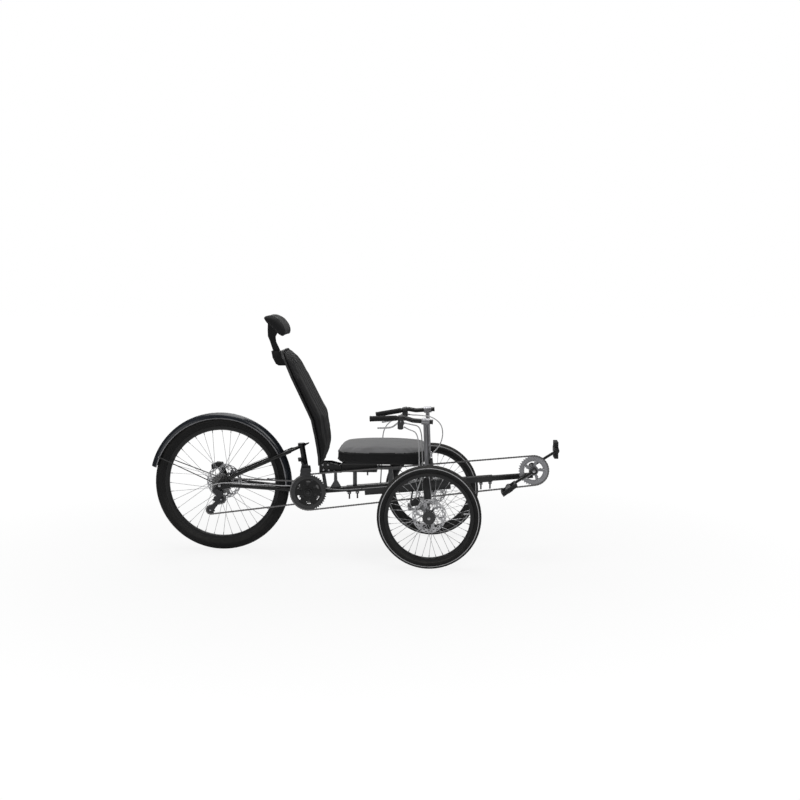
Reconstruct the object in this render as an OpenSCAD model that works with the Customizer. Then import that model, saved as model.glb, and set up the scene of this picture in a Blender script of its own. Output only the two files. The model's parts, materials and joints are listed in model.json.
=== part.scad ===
// Recumbent trike: two steered front wheels, one driven rear wheel, padded office style seat.
// Millimetres. +X points forward, +Y to the rider's left, +Z up.
// Everything is drawn from the point on the floor below the rear axle, and place() then
// moves it so that the middle of the length is at the origin.

/* [Stance] */
// Distance between the front and the rear axle
wheelbase = 1040; // [960:5:1250]
// Distance between the middles of the front tyres
track = 760; // [720:5:860]
// Height of the crank axle above the floor
crank_z = 417; // [390:1:440]
// Distance from the front axle forward to the crank axle
crank_ahead = 506; // [480:2:640]

/* [Rear wheel] */
// Outer radius of the rear tyre
rear_r = 336; // [300:1:345]
// Width of the rear tyre
rear_tyre_w = 50; // [32:1:54]
// Inner radius of the rear rim
rear_rim_in = 266; // [240:1:270]
// Outer radius of the rear rim, where the tyre starts
rear_rim_out = 286; // [275:1:292]
// Distance between the inner faces of the rear dropouts
dropout_gap = 135; // [130:1:150]

/* [Front wheels] */
// Outer radius of a front tyre
front_r = 245; // [235:1:255]
// Width of a front tyre
front_tyre_w = 44; // [30:1:48]
// Inner radius of a front rim
front_rim_in = 192; // [180:1:195]
// Outer radius of a front rim, where the tyre starts
front_rim_out = 209; // [205:1:214]
// Radius of the fixed front axle stubs
stub_r = 6; // [5:0.5:7.5]
// Radius of the front brake discs
front_disc_r = 80; // [70:1:80]

/* [Wheels] */
// Width of the rims
rim_w = 27; // [22:1:30]
// Number of spokes in each wheel
spoke_count = 36; // [20:4:36]
// Radius of a spoke
spoke_r = 1; // [0.8:0.1:1.2]

/* [Steering] */
// Sideways lean of the kingpins, inwards towards the top
kingpin_lean = 10.6; // [6:0.2:13]
// Backward lean of the kingpins towards the top
caster = 2; // [0:0.5:6]
// Radius of the kingpins
kingpin_r = 8; // [6:0.5:9]
// Radius of the head tubes around the kingpins
head_r = 18; // [16:0.5:20]
// Height of the lower end of the head tubes
head_z0 = 310; // [305:1:325]
// Height of the upper end of the head tubes
head_z1 = 416; // [400:1:430]
// Height of the handlebar clamps
bar_z = 680; // [640:5:760]
// Radius of the handlebars
bar_r = 11.1; // [10:0.1:12]
// Radius of the grips
grip_r = 15; // [13:0.5:17]
// Slope at which each bar sits in its clamp, up at the right and down at the left
bar_tilt = 4.2; // [0:0.2:8]
// Length of the steering arms
arm_len = 84; // [70:1:100]

/* [Frame] */
// Height of the telescoping tubes
tube_h = 22; // [20:1:26]
// Width of the telescoping tubes
tube_w = 40; // [36:1:44]
// Wall of the sleeve that the telescoping tubes slide into
sleeve_wall = 3; // [2:0.5:4]
// Depth of the stiffening box under the sleeve
box_h = 22; // [15:1:30]
// Upward slope of the main tube towards the front
main_slope = 4.6; // [3.6:0.1:5.4]
// Radius of the bottom bracket shells
shell_r = 20; // [19:0.5:22]
// Width of the bottom bracket shells
shell_w = 68; // [64:1:73]
// Radius of the crank spindles
spindle_r = 10; // [8:0.5:12]
// Distance of the middle spindle ahead of the rear axle
mid_x = 437; // [425:1:460]
// Height of the middle spindle
mid_z = 301; // [290:1:312]

/* [Drive] */
// Teeth of the front chainring
front_teeth = 36; // [30:1:39]
// Teeth of the large middle ring, driven by the front chain
outer_teeth = 44; // [38:1:44]
// Teeth of the small middle ring, which drives the rear chain
inner_teeth = 26; // [22:1:30]
// Teeth of the sprocket that the rear chain runs on
cog_teeth = 15; // [13:1:18]
// Length of the crank arms
crank_len = 145; // [130:1:160]
// Angle of the left crank arm above forward level
crank_angle = 32.5; // [0:0.5:60]
// Length of a pedal in the direction of travel
pedal_l = 84; // [70:1:95]
// Width of a pedal
pedal_w = 92; // [80:1:100]
// Thickness of a pedal
pedal_h = 24; // [18:1:28]

/* [Seat] */
// Width of the seat cushion
cushion_w = 430; // [380:5:450]
// Length of the seat cushion
cushion_l = 455; // [420:5:470]
// Height of the cushion at its edge
cushion_h = 70; // [50:1:90]
// Height of the underside of the cushion
cushion_z = 466; // [458:1:480]
// Width of the backrest
back_w = 400; // [360:5:440]
// Width of the headrest pad
head_w = 250; // [200:5:290]

/* [Mudguard] */
// Outer radius of the mudguard
guard_r = 358; // [356:1:366]
// Half the width of the mudguard
guard_half_w = 31; // [29:0.5:32]
// Thickness of the mudguard
guard_t = 1.6; // [1.2:0.2:2]

/* [Hidden] */
$fn = 48;

RIGHT = -1;
LEFT = 1;
run_gap = 0.05;      // radial clearance of a running fit
seat_gap = 0.3;      // distance of a soft piece or a spoke end from what it rests on
chain_w = 7;         // outer width of a chain
chain_h = 8.4;       // depth of a chain link plate
chain_pitch = 12.7;
ring_t = 3;          // thickness of a toothed ring
front_x = wheelbase;
crank_x = wheelbase + crank_ahead;
rear_z = rear_r;
front_z = front_r;

// ---- derived lengths -------------------------------------------------------------------
function pitch_r(teeth) = chain_pitch / (2 * sin(180 / teeth));
front_ring_r = pitch_r(front_teeth);
outer_ring_r = pitch_r(outer_teeth);
inner_ring_r = pitch_r(inner_teeth);
cog_r = pitch_r(cog_teeth);
outer_y = -61;       // chain line of the front chain
inner_y = -53;       // chain line of the rear chain
guard_x = -8;        // the mudguard's centre stands a little behind and below the axle
guard_z = -4;
guard_from = -1;
guard_sweep = 166.5;

pedal_x = crank_len * cos(crank_angle);
pedal_rise = crank_len * sin(crank_angle);
front_end = crank_x + pedal_x + pedal_h / 2;
rear_end = guard_x + guard_r * cos(guard_from + guard_sweep);
middle_x = (front_end + rear_end) / 2;

// ---- shared helpers --------------------------------------------------------------------
module place() { translate([-middle_x, 0, 0]) children(); }

// Turns children so that their Z runs along v.
module towards(v) { rotate([0, acos(v.z / norm(v)), atan2(v.y, v.x)]) children(); }

// A round bar from a to b.
module rod(a, b, r) { translate(a) towards(b - a) cylinder(h = norm(b - a), r = r); }

// A bent bar: straight stretches with a slightly fuller ball at each bend.
module bent_rod(points, r) {
    for (i = [0:len(points) - 2]) rod(points[i], points[i + 1], r);
    for (i = [1:1:len(points) - 2])
        translate(points[i]) towards(points[i + 1] - points[i - 1]) sphere(r = r + 0.45);
}

// A disc or tube end on an axle along Y, centred at y.
module disc(x, y, z, r, t) { translate([x, y + t / 2, z]) rotate([90, 0, 0]) cylinder(h = t, r = r); }

// A side-view outline, x forward and z up, made t thick around y.
module slab(y, t) { translate([0, y + t / 2, 0]) rotate([90, 0, 0]) linear_extrude(t) children(); }

// A box given by its middle and its size.
module block(middle, size) { translate(middle) cube(size, center = true); }

// Point of a kingpin's axis at height z; side is RIGHT or LEFT.
function kingpin(side, z) = [
    front_x + 3 - z * tan(caster),
    side * (track / 2 - z * tan(kingpin_lean)),
    z
];

// Point of the main tube's centre line at x.
function main_z(x) = mid_z - 6 + (x - mid_x) * tan(main_slope);

// A rectangular bar along the main tube's line from x0 to x1, dz below or above the line.
module main_bar(x0, x1, w, h, dz = 0) {
    translate([x0, 0, main_z(x0) + dz]) rotate([0, -main_slope, 0])
        translate([0, -w / 2, -h / 2]) cube([(x1 - x0) / cos(main_slope), w, h]);
}

// ---- chains: a band around pulleys -----------------------------------------------------
// Each pulley is [x, z, radius, turn], where turn is 1 to the left and -1 to the right.
function heading(a, b) = atan2(b[1] - a[1], b[0] - a[0])
    - asin((b[2] * b[3] - a[2] * a[3]) / norm([b[0] - a[0], b[1] - a[1]]));
function turned(from, to, turn) = turn > 0 ? (to - from + 720) % 360 : -((from - to + 720) % 360);
function belt(pulleys, out) = [
    for (i = [0:len(pulleys) - 1])
        let (
            n = len(pulleys),
            here = pulleys[i],
            before = heading(pulleys[(i + n - 1) % n], here),
            sweep = turned(before, heading(here, pulleys[(i + 1) % n]), here[3]),
            steps = ceil(abs(sweep) / 9)
        )
        for (k = [0:steps])
            let (a = before + sweep * k / steps, reach = here[2] * here[3] + out)
            [here[0] + reach * sin(a), here[1] - reach * cos(a)]
];
module chain(pulleys, y) {
    slab(y, chain_w) difference() {
        polygon(belt(pulleys, -chain_h / 2));
        polygon(belt(pulleys, chain_h / 2));
    }
}
FRONT_PULLEYS = [[mid_x, mid_z, outer_ring_r, -1], [crank_x, crank_z, front_ring_r, -1]];
upper_jockey = [2, 262];
lower_jockey = [-52, 208];
jockey_r = 22;
REAR_PULLEYS = [
    [0, rear_z, cog_r, -1],
    [mid_x, mid_z, inner_ring_r, -1],
    [lower_jockey.x, lower_jockey.y, jockey_r, -1],
    [upper_jockey.x, upper_jockey.y, jockey_r, 1]
];
module ring(x, y, z, pitch, bore) {
    difference() {
        disc(x, y, z, pitch - chain_h / 2 - 0.5, ring_t);
        disc(x, y, z, bore, ring_t + 2);
    }
}

// ---- cables: a round tube along a smooth line ------------------------------------------
cable_sides = 8;
function smooth(a, b, c, d, t) = 0.5 * (2 * b + (c - a) * t + (2 * a - 5 * b + 4 * c - d) * t * t
    + (3 * b - a - 3 * c + d) * t * t * t);
function curve(p, per) = concat(
    [for (i = [0:len(p) - 2]) for (k = [0:per - 1])
        smooth(p[max(i - 1, 0)], p[i], p[i + 1], p[min(i + 2, len(p) - 1)], k / per)],
    [p[len(p) - 1]]
);
function unit(v) = v / norm(v);
module cable(points, r, per = 2) {
    line = curve(points, per);
    n = len(line);
    rings = [for (i = [0:n - 1])
        let (
            along = unit(line[min(i + 1, n - 1)] - line[max(i - 1, 0)]),
            across = unit(cross(along, [1, 1, 1])),
            third = cross(along, across)
        )
        for (k = [0:cable_sides - 1])
            line[i] + r * (cos(k * 360 / cable_sides) * across + sin(k * 360 / cable_sides) * third)];
    sides = [for (i = [0:n - 2]) for (k = [0:cable_sides - 1])
        let (a = i * cable_sides + k, b = i * cable_sides + (k + 1) % cable_sides)
        [a, b, b + cable_sides, a + cable_sides]];
    polyhedron(
        points = rings,
        faces = concat(
            [[for (k = [0:cable_sides - 1]) cable_sides - 1 - k]],
            sides,
            [[for (k = [0:cable_sides - 1]) (n - 1) * cable_sides + k]]
        )
    );
}

// ---- wheels: everything is drawn around the origin with its axle along Y ---------------
module turned_profile() { rotate([90, 0, 0]) rotate_extrude($fn = 96) children(); }

module tyre(outer, inner, w) {
    crown = outer - w / 2;
    from = 115;
    turned_profile() polygon([
        [inner, 2 - rim_w / 2],
        for (a = [-from:from / 8:from]) [crown + w / 2 * cos(a), w / 2 * sin(a)],
        [inner, rim_w / 2 - 2]
    ]);
}

module rim(outer, inner) {
    half = rim_w / 2;
    turned_profile() polygon([[inner, -half + 7], [inner + 5, -half], [outer, -half], [outer, half],
        [inner + 5, half], [inner, half - 7]]);
}

// Spokes leave the two flanges alternately forwards and backwards and cross on the way.
// flanges holds the y of each flange, flange_r its radius.
module spokes(flange_r, flanges, rim_inner) {
    lace = 3 * 2 * 360 / spoke_count;
    for (i = [0:spoke_count - 1]) {
        flange = flanges[i % 2];
        turn = floor(i / 2) % 2 == 0 ? 1 : -1;
        a = i * 360 / spoke_count;
        start = flange_r + spoke_r + seat_gap;
        end = rim_inner - seat_gap - 0.4;
        rod([start * cos(a - turn * lace), flange + turn * 2.2, start * sin(a - turn * lace)],
            [end * cos(a), sign(flange) * 3 + turn * 1.6, end * sin(a)], spoke_r);
    }
}

// A hub drawn from its steps, each [from y, to y, radius], with a bore right through.
module hub(steps, bore) {
    low = min([for (s = steps) s[0]]);
    high = max([for (s = steps) s[1]]);
    difference() {
        union() {
            for (s = steps) disc(0, (s[0] + s[1]) / 2, 0, s[2], s[1] - s[0]);
        }
        disc(0, (low + high) / 2, 0, bore, high - low + 2);
    }
}

// ---- frame -----------------------------------------------------------------------------
sleeve_x0 = 622;
sleeve_x1 = 1346;
box_x0 = 714;
box_x1 = 1140;
sleeve_w = tube_w + 2 * sleeve_wall + 2 * run_gap;
sleeve_h = tube_h + 2 * sleeve_wall + 2 * run_gap;
clamp_bolts = [636, 676, 1290, 1335]; // x of each clamp bolt
overlap_l = 90;                       // length of each inner tube inside the sleeve

module main_beam() {
    color("#141416") place() {
        difference() {
            union() {
                main_bar(sleeve_x0, sleeve_x1, sleeve_w, sleeve_h);
                main_bar(box_x0, box_x1, sleeve_w, box_h, -(sleeve_h + box_h) / 2 + 0.5);
                for (x = clamp_bolts)
                    block([x, 0, main_z(x) - sleeve_h / 2 - 5], [16, 30, 14]);
            }
            main_bar(sleeve_x0 - 5, sleeve_x1 + 5, tube_w + 2 * run_gap, tube_h + 2 * run_gap);
        }
        for (x = clamp_bolts)
            translate([x, 0, main_z(x) - sleeve_h / 2 - 38]) cylinder(h = 26.5, r = 4);
    }
}

module bottom_shell(x, z) {
    difference() {
        disc(x, 0, z, shell_r, shell_w);
        disc(x, 0, z, spindle_r + run_gap, shell_w + 2);
    }
}

module rear_tube() {
    color("#141416") place() {
        bottom_shell(mid_x, mid_z);
        difference() {
            main_bar(mid_x + 8, sleeve_x0 + overlap_l, tube_w, tube_h);
            disc(mid_x, 0, mid_z, shell_r - 1, shell_w);
        }
    }
}

module front_boom() {
    color("#141416") place() {
        bottom_shell(crank_x, crank_z);
        difference() {
            union() {
                main_bar(sleeve_x1 - overlap_l, crank_x, tube_w, tube_h);
                block([crank_x - 6, 0, (crank_z + main_z(crank_x)) / 2],
                    [26, tube_w - 6, crank_z - main_z(crank_x)]);
            }
            disc(crank_x, 0, crank_z, shell_r - 1, shell_w);
        }
    }
}

// Each cross tube runs from the side of the main beam to a head tube.
cross_r = 19;
module cross_beam() {
    color("#1a1a1c") place() for (side = [RIGHT, LEFT]) {
        inner = [front_x - 9, side * sleeve_w / 2, main_z(front_x - 9) - 4];
        outer = kingpin(side, (head_z0 + head_z1) / 2 - 6);
        difference() {
            union() {
                rod(inner, outer, cross_r);
                rod(kingpin(side, head_z0), kingpin(side, head_z1), head_r);
            }
            rod(kingpin(side, head_z0 - 20), kingpin(side, head_z1 + 20), kingpin_r + run_gap);
            block([inner.x, 0, inner.z], [80, sleeve_w + 2 * run_gap, 80]);
        }
    }
}

// Dropouts, the rear axle between them and the two lower stays.
dropout_t = 6;
dropout_y = dropout_gap / 2 + dropout_t / 2;
eyelet = [22, rear_z + 26];
eyelet_r = 2.75;
rear_axle_r = 5;
chainstay_front_y = 30;
module chainstays() {
    color("#141416") place() {
        for (side = [RIGHT, LEFT]) difference() {
            union() {
                slab(side * dropout_y, dropout_t) polygon([[-16, rear_z - 14], [-16, rear_z + 10],
                    [8, rear_z + 34], [34, rear_z + 38], [52, rear_z + 8], [52, rear_z - 14],
                    [10, rear_z - 20]]);
                rod([30, side * (dropout_y - 1), rear_z],
                    [mid_x - 10, side * chainstay_front_y, mid_z + 2], 10);
            }
            disc(mid_x, 0, mid_z, shell_r + run_gap, shell_w + 60);
            disc(eyelet[0], side * dropout_y, eyelet[1], eyelet_r, 40);
        }
        disc(0, 0, rear_z, rear_axle_r, 2 * dropout_y + dropout_t);
        for (side = [RIGHT, LEFT]) disc(0, side * (dropout_y + dropout_t / 2 + 5), rear_z, 9, 10);
    }
}

// Upper stays: a straight tube beside the wheel and a thinner end that turns in to the seat tube.
seat_tube_r = 14;
bridge_r = 8;
bridge_angle = 25.7; // where the bridge between the stays sits on the mudguard
seat_tube_top = [398, 0, 538];
module seat_stays() {
    bridge_reach = guard_r + bridge_r + seat_gap;
    color("#141416") place() for (side = [RIGHT, LEFT]) difference() {
        union() {
            rod([40, side * (dropout_y - 4), rear_z + 33], [345, side * 43, 501], 9);
            disc(guard_x + bridge_reach * cos(bridge_angle), side * 21,
                rear_z + guard_z + bridge_reach * sin(bridge_angle), bridge_r, 44);
            rod([345, side * 43, 501], [seat_tube_top.x, side * 8, 522], 6);
            translate([345, side * 43, 501]) sphere(r = 9.3);
        }
        rod([mid_x, 0, mid_z], seat_tube_top, seat_tube_r + run_gap);
        rod(seat_tube_top - [0, 0, 18.1], seat_tube_top + [0, 0, 1], seat_tube_r + 4 + run_gap);
        slab(side * dropout_y, dropout_t + 0.1) square([160, rear_z + 40]);
    }
}

module seat_tube() {
    top = seat_tube_top;
    color("#141416") place() {
        difference() {
            union() {
                rod([mid_x, 0, mid_z], top, seat_tube_r);
                rod(top - [0, 0, 18], top, seat_tube_r + 4);
            }
            disc(mid_x, 0, mid_z, shell_r + run_gap, shell_w);
            main_bar(mid_x + 8, mid_x + 60, tube_w + 1, tube_h + 1);
        }
        slab(0, 8) polygon([[top.x + 14, top.z - 16], [top.x + 14, top.z - 2], [top.x + 38, top.z + 4],
            [top.x + 38, top.z - 2]]);
    }
}

// ---- seat ------------------------------------------------------------------------------
cushion_x0 = 584;
cushion_x1 = cushion_x0 + cushion_l;
pan_t = 7;
pan_z = cushion_z - pan_t;
rail_y = 32;
function top_of(x, h) = main_z(x) + h / 2 / cos(main_slope) + 0.1;

base_z = 398;
base_x0 = 490;
base_x1 = 775;
plate_z0 = 412;
plate_t = 12;
module seat_supports() {
    color("#77797c") place() {
        slab(0, 24) polygon([[539, top_of(539, tube_h)], [594, top_of(594, tube_h)], [575, 350],
            [573, base_z], [561, base_z], [560, 350]]);
        slab(0, 2 * rail_y) polygon([[base_x1 + 0.2, plate_z0], [890, plate_z0], [890, plate_z0 + plate_t],
            [base_x1 + 0.2, plate_z0 + plate_t]]);
        slab(0, 2 * rail_y) polygon([[832, top_of(832, sleeve_h)], [858, top_of(858, sleeve_h)],
            [850, plate_z0], [832, plate_z0]]);
    }
    color("#141416") place() {
        difference() {
            union() {
                rod([664, 0, main_z(664)], [664, 0, base_z], 10);
                rod([503, 0, base_z + 8], [520, 0, main_z(520)], 9);
            }
            main_bar(600, 740, sleeve_w + 10, sleeve_h + 0.2);
            main_bar(480, 599, sleeve_w + 10, tube_h + 0.2);
            translate([base_x0 - 20, -30, base_z]) cube([260, 60, 40]);
        }
        rod([727, 0, base_z - 20], [727, 0, base_z], 4);
    }
}

module seat_base() {
    color("#141416") place() {
        slab(0, 2 * rail_y) polygon([[base_x0, base_z + 0.2], [base_x1, base_z + 0.2], [base_x1, 438],
            [600, 438], [560, 412], [base_x0, 412]]);
        translate([cushion_x0 + 30, -cushion_w / 2 + 40, pan_z]) cube([cushion_l - 60, cushion_w - 80, pan_t]);
        slab(0, 2 * rail_y) polygon([[640, 438], [base_x1, 438], [base_x1 + 15, pan_z], [620, pan_z]]);
        slab(0, 40) polygon([[850, plate_z0 + plate_t + 0.2], [888, plate_z0 + plate_t + 0.2], [900, pan_z],
            [840, pan_z]]);
    }
}

// Cushion outline seen from above, with cut corners.
module cushion_outline(inset) {
    x0 = cushion_x0 + inset;
    x1 = cushion_x1 - inset;
    y = cushion_w / 2 - inset;
    polygon([[x0 + 50, -y], [x1 - 110, -y], [x1 - 30, -y + 45], [x1, -y + 110], [x1, y - 110],
        [x1 - 30, y - 45], [x1 - 110, y], [x0 + 50, y], [x0, y - 50], [x0, 50 - y]]);
}

module seat_cushion() {
    color("#6a6a6c") place() {
        translate([0, 0, cushion_z + seat_gap]) linear_extrude(cushion_h - 12) cushion_outline(0);
        translate([0, 0, cushion_z + seat_gap + cushion_h - 12]) linear_extrude(14) cushion_outline(16);
    }
}

module recline_bracket() {
    color("#141416") place() {
        for (side = [RIGHT, LEFT])
            slab(side * (rail_y + 4.2), 8) polygon([[490, 396], [600, 396], [600, 432], [560, 442],
                [546, 445.5], [496, 445.5], [490, 430]]);
    }
    color("#c8c8cc") place() for (side = [RIGHT, LEFT])
        for (p = [[508, 436], [534, 437], [512, 410], [538, 410], [566, 405]])
            disc(p[0], side * (rail_y + 11.2), p[1], 6, 6);
}

// Backrest in side view. Each row is [height, front of the pad, back of the shell].
BACK = [
    [446, 508, 495],
    [492, 532, 496],
    [530, 536, 493],
    [600, 528, 483],
    [674, 518, 468],
    [710, 497, 452],
    [965, 369, 333],
    [1004, 338, 312]
];
shell_t = 11;
function back_front() = [for (r = BACK) [r[1], r[0]]];
function back_split(shift) = [for (r = BACK) [r[2] + shell_t + shift, r[0]]];
function back_rear() = [for (r = BACK) [r[2], r[0]]];
function reversed(list) = [for (i = [len(list) - 1:-1:0]) list[i]];

// Front view of the backrest, drawn as y across and z up, with a narrow foot.
module back_front_view() {
    w = back_w / 2;
    translate([600, 0, 0]) rotate([90, 0, -90]) linear_extrude(400)
        polygon([[-w + 90, 400], [w - 90, 400], [w - 60, 450], [w - 20, 520], [w, 620], [w, 880],
            [w - 30, 970], [w - 90, 1010], [90 - w, 1010], [30 - w, 970], [-w, 880], [-w, 620],
            [20 - w, 520], [60 - w, 450]]);
}

module backrest_shell() {
    color("#141416") place() {
        intersection() {
            slab(0, back_w) polygon(concat(back_split(0), reversed(back_rear())));
            back_front_view();
        }
        // the foot between the two plates of the bracket
        slab(0, 2 * rail_y - 0.4) polygon([[497, 452], [505, 452], [506, 445.5], [522, 438],
            [522, 414], [500, 414]]);
        // the socket for the headrest arm
        slab(0, 60) polygon([[354, 926], [292, 926], [278, 934], [262, 965], [256, 998], [317, 998], [335, 965]]);
    }
}

module backrest_pad() {
    color("#1c1c1e") place() intersection() {
        slab(0, back_w - 8) polygon(concat(back_front(), reversed(back_split(seat_gap))));
        back_front_view();
    }
}

// The pad in side view, its hollow side towards the arm.
function head_outline(grow) = [[226 - grow, 1163], [236, 1173], [264, 1173], [300, 1156], [324, 1128],
    [336, 1100], [335, 1074], [322, 1070 - grow], [300 - grow, 1092 - grow], [264 - grow, 1126 - grow]];
module headrest_arm() {
    color("#141416") place() slab(0, 26) difference() {
        polygon([[262, 998], [247, 1045], [237, 1070], [236, 1100], [238, 1152], [292, 1102], [280, 1080],
            [273, 1065], [276, 1041], [296, 998]]);
        polygon(head_outline(seat_gap));
    }
}

module headrest_pad() { color("#3a3a3c") place() slab(0, head_w) polygon(head_outline(0)); }

// ---- mudguard --------------------------------------------------------------------------
module rear_mudguard() {
    color("#2b2f36") place() translate([guard_x, 0, rear_z + guard_z]) rotate([90, 0, 0])
        rotate([0, 0, guard_from]) rotate_extrude(angle = guard_sweep, $fn = 96) difference() {
            translate([guard_r - guard_half_w, 0]) circle(r = guard_half_w);
            translate([guard_r - guard_half_w, 0]) circle(r = guard_half_w - guard_t);
            square([guard_r - guard_half_w + 1, 4 * guard_half_w], center = true);
            translate([0, -2 * guard_half_w]) square([guard_r - guard_half_w + 1, 4 * guard_half_w]);
        }
}

stay_r = 2.5;
stay_angle = 156;
module mudguard_stays() {
    reach = guard_r - guard_half_w + 4;
    color("#2a2a2c") place() for (side = [RIGHT, LEFT]) {
        foot = [-2, side * (dropout_y + dropout_t / 2 + 12 + stay_r), rear_z + 2];
        rod(foot, [guard_x + reach * cos(stay_angle), side * (guard_half_w + stay_r + seat_gap),
            rear_z + guard_z + reach * sin(stay_angle)], stay_r);
        disc(0, side * (dropout_y + dropout_t / 2 + 12.4), rear_z, 8, 4.4);
    }
}

// ---- drive -----------------------------------------------------------------------------
module front_chain() { color("#8d8f90") place() chain(FRONT_PULLEYS, outer_y); }
module rear_chain() { color("#8d8f90") place() chain(REAR_PULLEYS, inner_y); }

module front_chainring() {
    color("#c9cbcd") place() ring(crank_x, outer_y, crank_z, front_ring_r, spindle_r + 4.05);
}

arm_y = 78;
crank_r = 7;
pedal_y = arm_y + 8 + pedal_w / 2;
module cranks() {
    color("#141416") place() {
        disc(crank_x, 0, crank_z, spindle_r, 2 * arm_y);
        for (side = [RIGHT, LEFT]) {
            x = crank_x + side * pedal_x;
            z = crank_z + side * pedal_rise;
            disc(crank_x, side * arm_y, crank_z, 17, 2 * crank_r);
            disc(x, side * arm_y, z, 14, 2 * crank_r - 1);
            rod([crank_x, side * arm_y, crank_z], [x, side * arm_y, z], crank_r);
            disc(x, side * (arm_y + 6 + pedal_w / 2), z, 5, pedal_w);
        }
        disc(crank_x, (outer_y + 2.5 - arm_y) / 2, crank_z, 14, arm_y + outer_y + 2.5);
    }
}

// A pedal is a flat cage with a bore for its spindle; tip is the angle of its long side.
module pedal(side, tip) {
    x = crank_x + side * pedal_x;
    z = crank_z + side * pedal_rise;
    color("#141416") place() difference() {
        translate([x, side * pedal_y, z]) rotate([0, -tip, 0]) union() {
            cube([26, pedal_w, pedal_h], center = true);
            for (end = [-1, 1]) translate([end * (pedal_l / 2 - 4), 0, 0])
                cube([8, pedal_w, pedal_h - 4], center = true);
            for (y = [-1, 1]) translate([0, y * (pedal_w / 2 - 4), 0])
                cube([pedal_l, 8, pedal_h - 4], center = true);
        }
        disc(x, side * pedal_y, z, 5 + run_gap, pedal_w + 20);
    }
}
module pedal_right() { pedal(RIGHT, crank_angle + 4); }
module pedal_left() { pedal(LEFT, 90); }

module middle_rings() {
    color("#17181a") place() {
        ring(mid_x, outer_y, mid_z, outer_ring_r, spindle_r + 6);
        ring(mid_x, inner_y, mid_z, inner_ring_r, spindle_r + 6);
        disc(mid_x, (outer_y + inner_y) / 2 - 4, mid_z, spindle_r + 8, 22);
        disc(mid_x, -12, mid_z, spindle_r, 112);
    }
}

freehub_r = 17;
COGS = [[26, -32.5], [23, -37], [21, -42], [19, -47], [15, -53], [13, -58]]; // teeth, y
module cassette() {
    color("#8a8c8e") place() difference() {
        union() {
            for (c = COGS) disc(0, c[1], rear_z, pitch_r(c[0]) - chain_h / 2 - 0.6, 2.4);
            disc(0, -45, rear_z, freehub_r + 4, 30);
        }
        disc(0, -45, rear_z, freehub_r + run_gap, 60);
    }
}

module rear_derailleur() {
    cage_y = inner_y;
    color("#3c3d40") place() {
        for (j = [upper_jockey, lower_jockey]) {
            disc(j.x, cage_y, j.y, jockey_r - chain_h / 2 - 0.5, 3);
            disc(j.x, cage_y, j.y, 4, 16);
        }
        for (side = [-1, 1]) slab(cage_y + side * 7, 2)
            polygon([[upper_jockey.x - 10, upper_jockey.y + 12], [upper_jockey.x + 10, upper_jockey.y + 4],
                [lower_jockey.x + 10, lower_jockey.y - 8], [lower_jockey.x - 10, lower_jockey.y - 6],
                [lower_jockey.x - 12, lower_jockey.y + 6]]);
        slab(cage_y - 18, 16) polygon([[-40, 262], [-22, 254], [8, 278], [10, 288], [-8, 290]]);
        disc(-22, cage_y - 13, 268, 12, 10);
        slab(-81, 10) polygon([[-10, 278], [14, 282], [10, 306], [-26, 326], [-40, 310]]);
        rod([-12, -70, 290], [-4, -86, 290], 6);
        rod([-28, -86, 318], [-20, -dropout_y - dropout_t / 2 - 0.2, 324], 8);
    }
}

module front_derailleur() {
    color("#3c3d40") place() {
        difference() {
            union() {
                rod([400, 0, 448], [398, 0, 466], seat_tube_r + 5);
                rod([400, -16, 456], [412, -48, 432], 7);
            }
            rod([mid_x, 0, mid_z], seat_tube_top, seat_tube_r + run_gap);
        }
        slab(outer_y + 7, 2) polygon([[396, 402], [452, 402], [448, 434], [404, 438]]);
        slab(outer_y - 7, 2) polygon([[396, 384], [452, 384], [448, 424], [404, 424]]);
        slab(outer_y, 14) polygon([[404, 414], [450, 414], [448, 424], [404, 424]]);
        slab(outer_y + 11, 8) polygon([[404, 420], [430, 420], [430, 438], [404, 438]]);
    }
}

module rear_calliper() {
    color("#1b1b1d") place() difference() {
        union() {
            slab(52, 26) polygon([[-62, rear_z + 60], [-20, rear_z + 72], [-8, rear_z + 96], [-34, rear_z + 98],
                [-64, rear_z + 84]]);
            slab(62, 6) polygon([[-12, rear_z + 18], [14, rear_z + 34], [-8, rear_z + 96],
                [-30, rear_z + 90]]);
            rod([0, 55, rear_z + 24], [0, dropout_y - dropout_t / 2 - 0.2, rear_z + 24], 6);
        }
        disc(0, rear_disc_y, rear_z, rear_disc_r + 2, 5);
        disc(0, 60, rear_z, 16, 60);
    }
}

// ---- rear wheel ------------------------------------------------------------------------
rear_disc_r = 88;
rear_disc_y = 48.5;
REAR_HUB = [[-63, -26.5, freehub_r], [-26, -20, 30], [-20, 34, 17], [34, 38, 26], [38, 63, 16]];
module at_rear() { place() translate([0, 0, rear_z]) children(); }
module rear_tyre() { color("#161617") at_rear() tyre(rear_r, rear_rim_out, rear_tyre_w); }
module rear_rim() { color("#161617") at_rear() rim(rear_rim_out, rear_rim_in); }
module rear_spokes() { color("#b9bbbd") at_rear() spokes(30, [-23, 36], rear_rim_in); }
module rear_hub() {
    color("#1c1c1e") at_rear() {
        hub(REAR_HUB, rear_axle_r + run_gap);
        difference() {
            disc(0, rear_disc_y, 0, rear_disc_r, 2);
            disc(0, rear_disc_y, 0, rear_disc_r - 16, 4);
        }
        difference() {
            disc(0, rear_disc_y, 0, rear_disc_r - 15.9, 2);
            disc(0, rear_disc_y, 0, 15.9, 4);
            for (a = [30:60:330]) disc((rear_disc_r - 44) * cos(a), rear_disc_y, (rear_disc_r - 44) * sin(a), 15, 4);
        }
    }
}

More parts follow.
